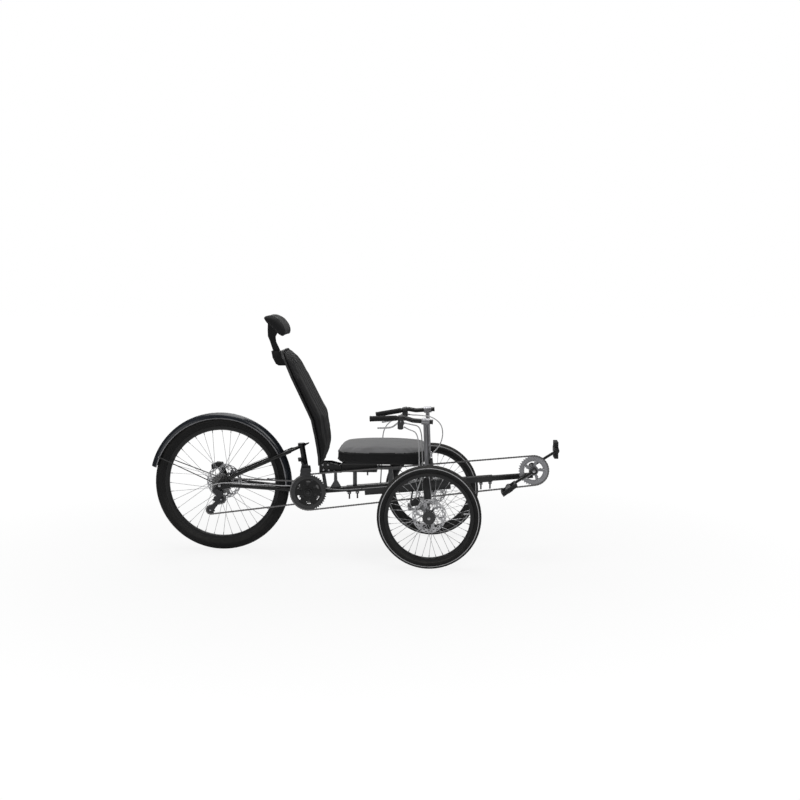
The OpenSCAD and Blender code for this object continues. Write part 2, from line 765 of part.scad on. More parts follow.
// ---- front wheels ----------------------------------------------------------------------
// Distances are measured from the wheel's middle plane towards the frame.
FRONT_HUB = [[-27, -20, 30], [-20, -15, 24], [-15, 15, 14], [15, 19, 24], [19, 27.5, 17]];
front_disc_in = 25.5;
function inwards(side, list) = [for (s = list) side < 0 ? s : [-s[1], -s[0], s[2]]];
module at_front(side) { place() translate([front_x, side * track / 2, front_z]) children(); }

module front_hub(side) {
    color("#1c1c1e") at_front(side) {
        hub(inwards(side, FRONT_HUB), stub_r + run_gap);
        difference() {
            disc(0, -side * front_disc_in, 0, front_disc_r, 2);
            disc(0, -side * front_disc_in, 0, 16.9, 4);
            for (a = [30:60:330])
                disc((front_disc_r - 38) * cos(a), -side * front_disc_in, (front_disc_r - 38) * sin(a), 14, 4);
        }
    }
}
module front_tyre(side) { color("#161617") at_front(side) tyre(front_r, front_rim_out, front_tyre_w); }
module front_rim(side) { color("#161617") at_front(side) rim(front_rim_out, front_rim_in); }
module front_spokes(side) { color("#b9bbbd") at_front(side) spokes(24, [-17, 17], front_rim_in); }
module tyre_right() { front_tyre(RIGHT); }
module tyre_left() { front_tyre(LEFT); }
module rim_right() { front_rim(RIGHT); }
module rim_left() { front_rim(LEFT); }
module spokes_right() { front_spokes(RIGHT); }
module spokes_left() { front_spokes(LEFT); }
module hub_right() { front_hub(RIGHT); }
module hub_left() { front_hub(LEFT); }

// ---- steering --------------------------------------------------------------------------
knuckle_r = 11;
arm_z = 274;
ball_r = 8;          // ball on the left steering arm
loose_ball_r = 6.8;    // ball on the right arm, with play in its housing
ball_rise = 16;
function ball_at(side) = kingpin(side, arm_z) + [-arm_len, 0, ball_rise];
function arm_end(side) = kingpin(side, arm_z) - [arm_len, 0, 0];

// Kingpin, axle stub with its end nut, steering arm and the calliper's bracket.
module knuckle(side) {
    stub = [front_x, side * track / 2, front_z];
    color("#8f9194") place() {
        rod(kingpin(side, head_z0 - 2), kingpin(side, head_z1 + 12), kingpin_r);
        rod(kingpin(side, head_z0 - 14), kingpin(side, head_z0 - 0.2), head_r - 1);
        rod(kingpin(side, front_z - 16), kingpin(side, head_z0 - 12), knuckle_r);
        disc(front_x, side * (track / 2 - 6), front_z, stub_r, 84);
        disc(front_x, side * (track / 2 + 31.5), front_z, 8, 8);
        rod(kingpin(side, arm_z), arm_end(side), 5);
        rod(arm_end(side) - [0, 0, 6], arm_end(side) + [0, 0, 6], 9);
        rod(arm_end(side), ball_at(side), 4);
        translate(ball_at(side)) sphere(r = side == LEFT ? ball_r : loose_ball_r);
        slab(side * (track / 2 - 46), 6) polygon([[front_x - 8, front_z + 8], [front_x - 8, front_z + 30],
            [front_x - 50, front_z + 80], [front_x - 66, front_z + 66], [front_x - 24, front_z + 6]]);
    }
}
module knuckle_right() { knuckle(RIGHT); }
module knuckle_left() { knuckle(LEFT); }

// Handlebar in its clamp's frame, [back, up] from the clamp's middle.
BAR = [[-34, 0], [58, 0], [100, 9], [262, -8]];
grip_from = 134;
function bar_point(side, p) = kingpin(side, bar_z)
    + [-p[0] * cos(bar_tilt) + side * p[1] * sin(bar_tilt), 0, p[1] * cos(bar_tilt) - side * p[0] * sin(bar_tilt)];
function bar_height(back) = BAR[2][1] + (BAR[3][1] - BAR[2][1]) * (back - BAR[2][0]) / (BAR[3][0] - BAR[2][0]);

post_r = 10;
module post(side) {
    foot = head_z1 + 12.2;
    color("#8c8e90") place() difference() {
        union() {
            rod(kingpin(side, foot), kingpin(side, bar_z), post_r);
            rod(kingpin(side, foot), kingpin(side, foot + 26), post_r + 5);
            rod(bar_point(side, [18, 0]), bar_point(side, [-20, 0]), bar_r + 5);
        }
        rod(bar_point(side, [57, 0]), bar_point(side, [-60, 0]), bar_r + 0.1);
    }
}
module post_right() { post(RIGHT); }
module post_left() { post(LEFT); }

module handlebar(side) {
    tip = bar_point(side, BAR[0]);
    color("#17171a") place() bent_rod([tip, for (i = [1:3]) bar_point(side, BAR[i])], bar_r);
}
module handlebar_right() { handlebar(RIGHT); }
module handlebar_left() { handlebar(LEFT); }

module grip(side) {
    far = BAR[3][0];
    from = bar_point(side, [grip_from, bar_height(grip_from)]);
    to = bar_point(side, [far, bar_height(far)]);
    along = unit(to - from);
    color("#202022") place() difference() {
        rod(from, to + 4 * along, grip_r);
        rod(from - 5 * along, to + 0.2 * along, bar_r + 0.05);
    }
}
module grip_right() { grip(RIGHT); }
module grip_left() { grip(LEFT); }

// Clamp, lever body, shifter below it and the lever blade under the grip.
clamp_back = 116;
function clamp_at(side) = bar_point(side, [clamp_back, bar_height(clamp_back)]);
module lever(side) {
    clamp = clamp_at(side);
    color("#1b1b1d") place() {
        difference() {
            union() {
                rod(clamp - [12, 0, 0], clamp + [12, 0, 0], bar_r + 4);
                block(clamp + [0, 0, -22], [30, 18, 22]);
                block(clamp + [-2, -side * 4, -42], [28, 26, 22]);
            }
            rod(bar_point(side, [BAR[2][0], BAR[2][1]]),
                bar_point(side, [clamp_back + 24, bar_height(clamp_back + 24)]), bar_r + 0.2);
            translate(bar_point(side, BAR[2])) sphere(r = bar_r + 0.5);
        }
    }
    color("#b8babc") place() {
        bent_rod([clamp + [-14, 0, -22], bar_point(side, [168, -42]), bar_point(side, [232, -50])], 5);
    }
}
module lever_right() { lever(RIGHT); }
module lever_left() { lever(LEFT); }

// Brake calliper over the rear upper edge of the disc, with a slot for the disc.
module front_calliper(side) {
    y = side * (track / 2 - front_disc_in);
    inner = side * (track / 2 - 42.8);
    color("#1b1b1d") place() difference() {
        union() {
            slab(y - side * 2, 14) polygon([[front_x - 84, front_z + 44], [front_x - 52, front_z + 50],
                [front_x - 40, front_z + 74], [front_x - 52, front_z + 90], [front_x - 86, front_z + 70]]);
            disc(front_x - 64, (y + inner) / 2 - side * 4, front_z + 68, 12, 18);
        }
        disc(front_x, y, front_z, front_disc_r + 2, 5);
        slab(side * (track / 2 - 46), 6.4) square([front_x, front_z * 2]);
    }
}
module calliper_right() { front_calliper(RIGHT); }
module calliper_left() { front_calliper(LEFT); }

// Cable routes: [forward of the rear axle, outwards, up], chosen by hand. A brake cable starts
// at the front of its lever's body, a shift cable at the shifter.
cable_r = 2.5;
BRAKE_LEFT = [[945, 250, 652], [975, 240, 652], [1040, 226, 644], [1085, 224, 610],
    [1098, 232, 560], [1086, 248, 505], [1052, 262, 458], [1012, 276, 432], [990, 300, 400],
    [981, 320, 366], [978, 333, 330]];
BRAKE_RIGHT = [[950, 246, 664], [985, 232, 652], [1000, 234, 615], [1004, 246, 550],
    [1006, 262, 480], [1004, 282, 425], [992, 304, 384], [982, 322, 356], [978, 333, 330]];
SHIFT_LEFT = [[865, 239, 633], [835, 237, 622], [808, 237, 596], [793, 238, 560], [788, 240, 510],
    [786, 230, 464], [788, 190, 440], [790, 120, 418], [790, 62, 362], [790, 25.1, 330]];
SHIFT_RIGHT = [[940, 240, 640], [972, 228, 622], [986, 232, 580], [990, 246, 510], [990, 254, 455],
    [984, 246, 415], [974, 210, 388], [968, 150, 374], [962, 84, 362], [956, 24.4, 350]];
function brake_exit(side) = clamp_at(side) + [16.2, 0, -24];
function shift_exit(side, forward) = clamp_at(side) + [forward, -side * 12, -44];
function on_side(side, route) = [for (p = route) [p[0], side * p[1], p[2]]];
module routed(side, start, route) { color("#cfd0d2") place() cable(concat([start], on_side(side, route)), cable_r); }
module brake_cable_right() { routed(RIGHT, brake_exit(RIGHT), BRAKE_RIGHT); }
module brake_cable_left() { routed(LEFT, brake_exit(LEFT), BRAKE_LEFT); }
module shift_cable_right() { routed(RIGHT, shift_exit(RIGHT, 13.8), SHIFT_RIGHT); }
module shift_cable_left() { routed(LEFT, shift_exit(LEFT, -16.2), SHIFT_LEFT); }

// The rod between the two steering arms, with a ball housing at each end.
module tie_rod() {
    neck_r = 6.4;
    tie_r = 4.5;
    color("#9a9c9f") place() difference() {
        union() {
            rod(ball_at(LEFT), ball_at(RIGHT), tie_r);
            for (side = [RIGHT, LEFT]) rod(ball_at(side) - [0, 0, 6], ball_at(side) + [0, 0, 10], 12);
        }
        for (side = [RIGHT, LEFT]) {
            translate(ball_at(side)) sphere(r = ball_r + run_gap);
            rod(ball_at(side) - [0, 0, 9], ball_at(side), neck_r);
        }
    }
}

main_beam();
rear_tube();
front_boom();
cross_beam();
chainstays();
seat_stays();
seat_tube();
seat_supports();
seat_base();
seat_cushion();
recline_bracket();
backrest_shell();
backrest_pad();
headrest_arm();
headrest_pad();
rear_mudguard();
mudguard_stays();
rear_derailleur();
front_derailleur();
rear_calliper();
front_chain();
rear_chain();
front_chainring();
cranks();
pedal_right();
pedal_left();
middle_rings();
cassette();
rear_tyre();
rear_rim();
rear_spokes();
rear_hub();
tyre_right();
rim_right();
spokes_right();
hub_right();
tyre_left();
rim_left();
spokes_left();
hub_left();
knuckle_right();
post_right();
handlebar_right();
grip_right();
lever_right();
calliper_right();
brake_cable_right();
shift_cable_right();
knuckle_left();
post_left();
handlebar_left();
grip_left();
lever_left();
calliper_left();
brake_cable_left();
shift_cable_left();
tie_rod();
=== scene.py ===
"""Looks of a recumbent trike with a padded seat, two steered front wheels and a driven rear wheel.

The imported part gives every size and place. Lengths in the classes below are millimetres, measured
forward, to the rider's left and up from the point on the floor under the rear axle.
"""
import json
import logging
import math
from dataclasses import dataclass
from enum import Enum
from typing import Any, Callable, Iterable, Sequence

import bpy
import numpy as np
from mathutils import Matrix, Vector


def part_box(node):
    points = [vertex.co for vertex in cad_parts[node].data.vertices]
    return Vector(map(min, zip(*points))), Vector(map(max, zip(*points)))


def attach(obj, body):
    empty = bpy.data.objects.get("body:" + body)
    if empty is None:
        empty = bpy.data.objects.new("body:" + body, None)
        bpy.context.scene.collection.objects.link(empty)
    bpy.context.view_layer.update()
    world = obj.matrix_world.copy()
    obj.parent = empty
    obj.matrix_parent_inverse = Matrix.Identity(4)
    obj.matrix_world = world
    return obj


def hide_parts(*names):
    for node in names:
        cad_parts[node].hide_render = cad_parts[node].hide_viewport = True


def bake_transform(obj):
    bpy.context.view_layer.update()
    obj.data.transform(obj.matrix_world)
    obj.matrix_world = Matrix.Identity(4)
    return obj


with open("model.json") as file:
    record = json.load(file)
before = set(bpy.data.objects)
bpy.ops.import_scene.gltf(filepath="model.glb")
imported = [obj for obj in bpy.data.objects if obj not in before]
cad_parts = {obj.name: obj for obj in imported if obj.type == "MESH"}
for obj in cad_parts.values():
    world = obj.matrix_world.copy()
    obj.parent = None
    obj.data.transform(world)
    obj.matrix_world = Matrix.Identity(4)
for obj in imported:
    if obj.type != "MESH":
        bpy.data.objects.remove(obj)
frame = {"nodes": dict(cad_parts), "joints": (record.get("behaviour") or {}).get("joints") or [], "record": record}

log = logging.getLogger("trike")
RIGHT = -1
LEFT = 1
SIDES = {RIGHT: "right", LEFT: "left"}
JOINTS = {j["name"]: j for j in frame["joints"]}
REAR_AXLE = Vector(JOINTS["rear_wheel_spin"]["pos_m"])
Point = Sequence[float]
Colour = tuple[float, float, float]


def at(x: float, y: float, z: float) -> Vector:
    """Row-frame point in metres for a point given in millimetres from under the rear axle."""
    return Vector((REAR_AXLE.x + x / 1000, y / 1000, z / 1000))


def pivot(joint: str) -> Vector:
    """Place of a joint's pivot in millimetres from under the rear axle."""
    p = Vector(JOINTS[joint]["pos_m"])
    return Vector(((p.x - REAR_AXLE.x) * 1000, p.y * 1000, p.z * 1000))


# ---- materials -----------------------------------------------------------------------------
class Tone:
    """A socket of a material whose arithmetic adds Math nodes."""

    def __init__(self, mixer: "Mixer", socket: bpy.types.NodeSocket) -> None:
        """Keeps the material's mixer and the socket."""
        self.mixer = mixer
        self.socket = socket

    def _math(self, operation: str, a: Any, b: Any) -> "Tone":
        """One Math node of two values."""
        return self.mixer.node("ShaderNodeMath", {"operation": operation}, {0: a, 1: b})

    def __add__(self, other: Any) -> "Tone":
        """Sum."""
        return self._math("ADD", self, other)

    __radd__ = __add__

    def __sub__(self, other: Any) -> "Tone":
        """Difference."""
        return self._math("SUBTRACT", self, other)

    def __rsub__(self, other: Any) -> "Tone":
        """Difference with the socket second."""
        return self._math("SUBTRACT", other, self)

    def __mul__(self, other: Any) -> "Tone":
        """Product."""
        return self._math("MULTIPLY", self, other)

    __rmul__ = __mul__

    def clamped(self) -> "Tone":
        """The value held between 0 and 1."""
        return self.mixer.node("ShaderNodeClamp", {}, {0: self})


class Mixer:
    """Builds one material's nodes."""

    def __init__(self, name: str) -> None:
        """Starts an empty material.

        Args:
            name: The material's name.
        """
        self.material = bpy.data.materials.new(name)
        self.material.use_nodes = True
        self.tree = self.material.node_tree
        self.tree.nodes.clear()
        self.place = self.node("ShaderNodeTexCoord", {}, {}, "Object")

    def node(self, kind: str, settings: dict[str, Any], inputs: dict[Any, Any], out: Any = 0) -> Tone:
        """Adds a node.

        Args:
            kind: The node's type.
            settings: Its properties, set first. "stops" holds a ramp's positions and greys or colours.
            inputs: Values or tones for its sockets, by name or number.
            out: The name or number of the output wanted.

        Returns:
            The output's tone.
        """
        made = self.tree.nodes.new(kind)
        for key, value in settings.items():
            if key == "stops":
                ramp = made.color_ramp
                while len(ramp.elements) < len(value):
                    ramp.elements.new(0.5)
                for element, (position, colour) in zip(ramp.elements, value):
                    element.position = position
                    element.color = (*colour, 1) if isinstance(colour, tuple) else (colour,) * 3 + (1,)
            else:
                setattr(made, key, value)
        for key, value in inputs.items():
            if isinstance(value, Tone):
                self.tree.links.new(value.socket, made.inputs[key])
            else:
                made.inputs[key].default_value = value
        return Tone(self, made.outputs[out])

    def noise(self, size: float, detail: float = 3.0, rough: float = 0.55,
              stretch: Point = (1, 1, 1)) -> Tone:
        """Noise over the object.

        Args:
            size: Width of its largest spots in metres.
            detail: Octaves.
            rough: Weight of the fine octaves.
            stretch: How much finer it is along each axis.

        Returns:
            The noise, about 0.5 on average.
        """
        scaled = self.node("ShaderNodeVectorMath", {"operation": "MULTIPLY"},
                           {0: self.place, 1: tuple(stretch)})
        return self.node("ShaderNodeTexNoise", {}, {"Vector": scaled, "Scale": 1 / size, "Detail": detail,
                                                    "Roughness": rough})

    def mix(self, factor: Any, a: Any, b: Any) -> Tone:
        """A colour between a and b."""
        settings = {"data_type": "RGBA", "clamp_factor": True}
        pad = [c if isinstance(c, Tone) else (*c, 1) for c in (a, b)]
        return self.node("ShaderNodeMix", settings, {0: factor, 6: pad[0], 7: pad[1]}, 2)

    def upward(self) -> Tone:
        """1 on faces that look up, 0 on upright and lower faces."""
        normal = self.node("ShaderNodeNewGeometry", {}, {}, "Normal")
        return self.node("ShaderNodeSeparateXYZ", {}, {0: normal}, "Z").clamped()

    def edges(self) -> Tone:
        """1 along sharp outer edges."""
        point = self.node("ShaderNodeNewGeometry", {}, {}, "Pointiness")
        return ((point - 0.53) * 14).clamped()


class Grain(Enum):
    """The fine relief of a finish."""

    PAINT = "paint"
    BRUSHED = "brushed"
    PEBBLE = "pebble"
    WEAVE = "weave"
    RUBBER = "rubber"


@dataclass(frozen=True)
class Finish:
    """A finish of one of the record's material slots.

    Attributes:
        slot: The record's slot.
        colour: Base colour, linear.
        roughness: Mean roughness.
        grain: Kind of fine relief.
        size: Size of the relief in metres.
        metallic: 1 on bare metal.
        bump: Depth of the relief in metres.
        spread: How much lighter and darker the broad patches are.
        worn: How strongly edges and scuffs show.
        worn_colour: Colour below the worn finish.
        dust: How much dust lies on faces that look up.
        coat: Weight of a clear coat.
        sheen: Weight of a cloth's sheen.
    """

    slot: str
    colour: Colour
    roughness: float
    grain: Grain = Grain.PAINT
    size: float = 0.002
    metallic: float = 0.0
    bump: float = 0.0002
    spread: float = 0.25
    worn: float = 0.3
    worn_colour: Colour = (0.16, 0.16, 0.165)
    dust: float = 0.06
    coat: float = 0.0
    sheen: float = 0.0

    def relief(self, mixer: Mixer) -> Tone:
        """The height of the fine relief, from 0 to 1."""
        if self.grain is Grain.BRUSHED:
            return mixer.noise(self.size, 4, 0.6, (1, 12, 12))
        if self.grain is Grain.PEBBLE:
            return mixer.node("ShaderNodeTexVoronoi", {}, {"Vector": mixer.place, "Scale": 1 / self.size})
        if self.grain is Grain.WEAVE:
            across = self.thread(mixer, "Y")
            along = self.thread(mixer, "DIAGONAL")
            return (across * 0.5 + along * 0.5).clamped()
        if self.grain is Grain.RUBBER:
            return mixer.noise(self.size, 6, 0.7)
        return mixer.noise(self.size, 2, 0.4)

    def thread(self, mixer: Mixer, direction: str) -> Tone:
        """Threads of the weave that repeat along one direction."""
        waves = {"wave_type": "BANDS", "bands_direction": direction, "wave_profile": "SIN"}
        return mixer.node("ShaderNodeTexWave", waves, {"Vector": mixer.place, "Scale": 0.31 / self.size,
                                                       "Distortion": 0.6, "Detail": 1.0})

    def material(self) -> bpy.types.Material:
        """Builds the material."""
        mixer = Mixer(self.slot)
        fine = self.relief(mixer)
        patches = mixer.noise(0.07, 5)
        scuffs = ((mixer.noise(0.012, 6, 0.65) - 0.60) * 7).clamped()
        dark = tuple(c * (1 - self.spread) for c in self.colour)
        light = tuple(min(1.0, c * (1 + self.spread)) for c in self.colour)
        body = mixer.mix(patches, dark, light)
        if self.grain in (Grain.WEAVE, Grain.RUBBER, Grain.PEBBLE):
            body = mixer.mix(fine * 0.45, body, tuple(c * 0.45 for c in self.colour))
        wear = ((mixer.edges() * 0.7 + scuffs * 0.3) * self.worn).clamped()
        body = mixer.mix(wear, body, self.worn_colour)
        dusty = (mixer.upward() * mixer.noise(0.03, 4) * self.dust).clamped()
        body = mixer.mix(dusty, body, (0.30, 0.29, 0.27))
        rough = (self.roughness + (patches - 0.5) * 0.22 + scuffs * 0.12 + dusty * 0.3).clamped()
        bump = mixer.node("ShaderNodeBump", {},
                          {"Strength": 0.6, "Distance": self.bump, "Height": fine}, "Normal")
        shader = mixer.node("ShaderNodeBsdfPrincipled", {}, {
            "Base Color": body, "Roughness": rough, "Metallic": self.metallic, "Normal": bump,
            "Coat Weight": self.coat, "Coat Roughness": 0.12, "Sheen Weight": self.sheen,
            "Sheen Roughness": 0.45,
        })
        output = mixer.tree.nodes.new("ShaderNodeOutputMaterial")
        mixer.tree.links.new(shader.socket, output.inputs["Surface"])
        return mixer.material


BLACK: Colour = (0.008, 0.008, 0.0085)
FINISHES = {f.slot: f for f in (
    Finish("frame_black", BLACK, 0.36, coat=0.25),
    Finish("support_grey", (0.17, 0.175, 0.18), 0.42),
    Finish("seat_cover", (0.011, 0.011, 0.012), 0.85, Grain.WEAVE, 0.0016, bump=0.00012, worn=0.02, dust=0.03,
           sheen=0.06),
    Finish("shell_black", (0.012, 0.012, 0.013), 0.5, Grain.PEBBLE, 0.0009, bump=0.00015),
    Finish("mudguard_blue_black", (0.016, 0.02, 0.028), 0.25, spread=0.15, worn=0.08, dust=0.05, coat=0.4),
    Finish("stay_black", BLACK, 0.4),
    Finish("dark_alloy", (0.08, 0.08, 0.085), 0.4, Grain.BRUSHED, 0.004, metallic=0.8),
    Finish("brake_black", BLACK, 0.38, worn=0.5),
    Finish("chain_steel", (0.36, 0.36, 0.37), 0.34, Grain.BRUSHED, 0.004, metallic=1.0, worn=0.6,
           worn_colour=(0.09, 0.08, 0.07)),
    Finish("silver_alloy", (0.42, 0.42, 0.44), 0.36, Grain.BRUSHED, 0.004, metallic=0.85,
           worn_colour=(0.7, 0.7, 0.72)),
    Finish("crank_black", BLACK, 0.35, worn=0.5),
    Finish("pedal_black", (0.014, 0.014, 0.015), 0.55, Grain.PEBBLE, 0.001),
    Finish("sprocket_steel", (0.42, 0.42, 0.43), 0.36, Grain.BRUSHED, 0.004, metallic=1.0,
           worn_colour=(0.12, 0.11, 0.10)),
    Finish("tyre_rubber", (0.008, 0.008, 0.0085), 0.82, Grain.RUBBER, 0.003, bump=0.0003, dust=0.3, worn=0.2,
           worn_colour=(0.06, 0.058, 0.055)),
    Finish("rim_black", (0.006, 0.006, 0.0065), 0.36, worn=0.25),
    Finish("spoke_steel", (0.62, 0.62, 0.64), 0.28, Grain.BRUSHED, 0.003, metallic=1.0,
           worn_colour=(0.3, 0.3, 0.3)),
    Finish("hub_black", (0.02, 0.02, 0.021), 0.35, worn=0.5),
    Finish("knuckle_grey", (0.30, 0.30, 0.31), 0.42, Grain.BRUSHED, 0.004, metallic=0.6),
    Finish("bar_black", BLACK, 0.35, coat=0.2),
    Finish("grip_rubber", (0.008, 0.008, 0.0085), 0.72, Grain.RUBBER, 0.002, bump=0.0003),
    Finish("cable_housing", (0.74, 0.74, 0.75), 0.35, spread=0.1, worn=0.15),
)}
EXTRA = {
    # A lighter grey copy of the black seat cover for the cushion's upward top faces: painted light from above, not a
    # different cloth.
    "seat_cover_painted_lit_top": Finish("seat_cover_painted_lit_top", (0.19, 0.19, 0.195), 0.9, Grain.WEAVE, 0.0022, bump=0.0002, worn=0.02,
                        dust=0.05, sheen=0.5),
    "reflex_band": Finish("reflex_band", (0.62, 0.62, 0.63), 0.4, spread=0.08, worn=0.1),
    "bright_steel": Finish("bright_steel", (0.66, 0.66, 0.68), 0.26, Grain.BRUSHED, 0.003, metallic=1.0),
}


class Shelf:
    """Hands out each finish's material, built once."""

    def __init__(self) -> None:
        """Starts empty."""
        self.made: dict[str, bpy.types.Material] = {}

    def get(self, name: str) -> bpy.types.Material:
        """The material of a finish, by its name."""
        if name not in self.made:
            self.made[name] = {**FINISHES, **EXTRA}[name].material()
        return self.made[name]


SHELF = Shelf()


# ---- mesh making ---------------------------------------------------------------------------
def unit(v: Vector) -> Vector:
    """v at length 1."""
    return v.normalized()


def smooth_line(points: Sequence[Point], per: int) -> list[Vector]:
    """A smooth line through points.

    Args:
        points: Points that the line passes through.
        per: Steps between two points.

    Returns:
        The line's points.
    """
    p = [Vector(q) for q in points]
    out = []
    for i in range(len(p) - 1):
        a, b, c, d = p[max(i - 1, 0)], p[i], p[i + 1], p[min(i + 2, len(p) - 1)]
        for k in range(per):
            t = k / per
            out.append(0.5 * (2 * b + (c - a) * t + (2 * a - 5 * b + 4 * c - d) * t * t
                              + (3 * b - a - 3 * c + d) * t ** 3))
    return out + [p[-1]]


class Builder:
    """Collects faces in millimetres and makes one mesh of them."""

    def __init__(self) -> None:
        """Starts empty."""
        self.points: list[Vector] = []
        self.faces: list[tuple[int, ...]] = []
        self.finishes: list[str] = []
        self.marks: list[int] = []
        self.finish_now = 0

    def use(self, finish: str) -> "Builder":
        """Faces added from now on get this finish."""
        if finish not in self.finishes:
            self.finishes.append(finish)
        self.finish_now = self.finishes.index(finish)
        return self

    def add(self, points: Iterable[Vector], faces: Iterable[Sequence[int]]) -> None:
        """Adds points, and faces that count from the first of them."""
        start = len(self.points)
        self.points.extend(points)
        for face in faces:
            self.faces.append(tuple(start + i for i in face))
            self.marks.append(self.finish_now)

    def loft(self, rings: Sequence[Sequence[Vector]], caps: bool = True, closed: bool = False) -> None:
        """Joins rings of equally many points.

        Args:
            rings: The rings in order.
            caps: Whether the first and last ring are filled.
            closed: Whether the last ring joins the first.
        """
        n = len(rings[0])
        count = len(rings)
        faces: list[Sequence[int]] = []
        for i in range(count if closed else count - 1):
            j = (i + 1) % count
            faces += [(i * n + k, i * n + (k + 1) % n, j * n + (k + 1) % n, j * n + k) for k in range(n)]
        if caps and not closed:
            faces += [tuple(range(n - 1, -1, -1)), tuple((count - 1) * n + k for k in range(n))]
        self.add([v for ring in rings for v in ring], faces)

    def tube(self, line: Sequence[Point], radius: float | Sequence[float], sides: int = 12) -> None:
        """A round tube along a line, with one radius or one for each point."""
        p = [Vector(q) for q in line]
        radii = [radius] * len(p) if isinstance(radius, (int, float)) else list(radius)
        along = [unit(p[min(i + 1, len(p) - 1)] - p[max(i - 1, 0)]) for i in range(len(p))]
        across = unit(along[0].orthogonal())
        rings = []
        for q, t, r in zip(p, along, radii):
            across = unit(across - t * across.dot(t))
            third = t.cross(across)
            rings.append([q + r * (math.cos(a) * across + math.sin(a) * third)
                          for a in (2 * math.pi * k / sides for k in range(sides))])
        self.loft(rings)

    def rod(self, a: Point, b: Point, r: float, sides: int = 16, chamfer: float = 0.6) -> None:
        """A round bar from a to b with chamfered ends."""
        a, b = Vector(a), Vector(b)
        c = min(chamfer, (b - a).length / 3, r / 2)
        d = unit(b - a) * c
        self.tube([a, a + d, b - d, b], [r - c, r, r, r - c], sides)

    def lathe(self, centre: Point, profile: Sequence[tuple[float, float]], segments: int = 64,
              closed: bool = True) -> None:
        """Turns a profile of (radius, y) around the axle through centre."""
        c = Vector(centre)
        rings = [[c + Vector((r * math.cos(a), y, r * math.sin(a))) for r, y in profile]
                 for a in (2 * math.pi * k / segments for k in range(segments))]
        n = len(profile)
        faces = [(i * n + k, i * n + (k + 1) % n, (i + 1) % segments * n + (k + 1) % n,
                  (i + 1) % segments * n + k)
                 for i in range(segments) for k in range(n if closed else n - 1)]
        self.add([v for ring in rings for v in ring], faces)

    def plate(self, outline: Sequence[tuple[float, float]], y: float, t: float) -> None:
        """A side-view outline of (x, z) points, t thick around y."""
        self.loft([[Vector((x, y + s * t / 2, z)) for x, z in outline] for s in (1, -1)])

    def ringed_plate(self, outer: Sequence[tuple[float, float]], inner: Sequence[tuple[float, float]],
                     y: float, t: float) -> None:
        """A flat ring between two side-view loops of equally many points."""
        loops = [(outer, 1), (outer, -1), (inner, -1), (inner, 1)]
        self.loft([[Vector((x, y + s * t / 2, z)) for x, z in loop] for loop, s in loops], closed=True)

    def box(self, centre: Point, size: Point, turn: Matrix | None = None, chamfer: float = 0.0) -> None:
        """A box, turned about its middle, with chamfered upright edges when chamfer is set."""
        c = Vector(centre)
        hx, hy, hz = (s / 2 for s in size)
        k = min(chamfer, hx * 0.8, hy * 0.8)
        flat = [(-hx + k, -hy), (hx - k, -hy), (hx, -hy + k), (hx, hy - k), (hx - k, hy), (-hx + k, hy),
                (-hx, hy - k), (-hx, -hy + k)] if k else [(-hx, -hy), (hx, -hy), (hx, hy), (-hx, hy)]
        turn = turn or Matrix.Identity(3)
        self.loft([[c + turn @ Vector((x, y, z)) for x, y in flat] for z in (-hz, hz)])

    def bolt(self, centre: Point, axis: Point, r: float, height: float) -> None:
        """A hexagon socket bolt head that stands on centre along axis."""
        c, a = Vector(centre), unit(Vector(axis))
        self.tube([c, c + a * height * 0.8, c + a * height], [r, r, r * 0.8], 18)
        self.tube([c + a * height, c + a * height * 1.02], r * 0.45, 6)

    def object(self, name: str, body: str, slot: str, crease: float = 32.0) -> bpy.types.Object:
        """Makes the piece.

        Args:
            name: The piece's name.
            body: The body that it rides on.
            slot: The record's slot of its main finish.
            crease: Edges sharper than this many degrees stay sharp.

        Returns:
            The new object.
        """
        mesh = bpy.data.meshes.new(name)
        mesh.from_pydata([tuple(at(*p)) for p in self.points], [], self.faces)
        mesh.polygons.foreach_set("material_index", self.marks)
        mesh.polygons.foreach_set("use_smooth", [True] * len(mesh.polygons))
        mesh.update()
        mesh.validate()
        mesh.set_sharp_from_angle(angle=math.radians(crease))
        for finish in self.finishes or [slot]:
            mesh.materials.append(SHELF.get(finish))
        piece = bpy.data.objects.new(name, mesh)
        bpy.context.scene.collection.objects.link(piece)
        if body:
            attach(piece, body)
        log.info("%s: %d faces", name, len(mesh.polygons))
        return piece


def circle(x: float, z: float, r: float, n: int, start: float = 0.0) -> list[tuple[float, float]]:
    """n points of a circle in side view."""
    return [(x + r * math.cos(start + 2 * math.pi * k / n), z + r * math.sin(start + 2 * math.pi * k / n))
            for k in range(n)]


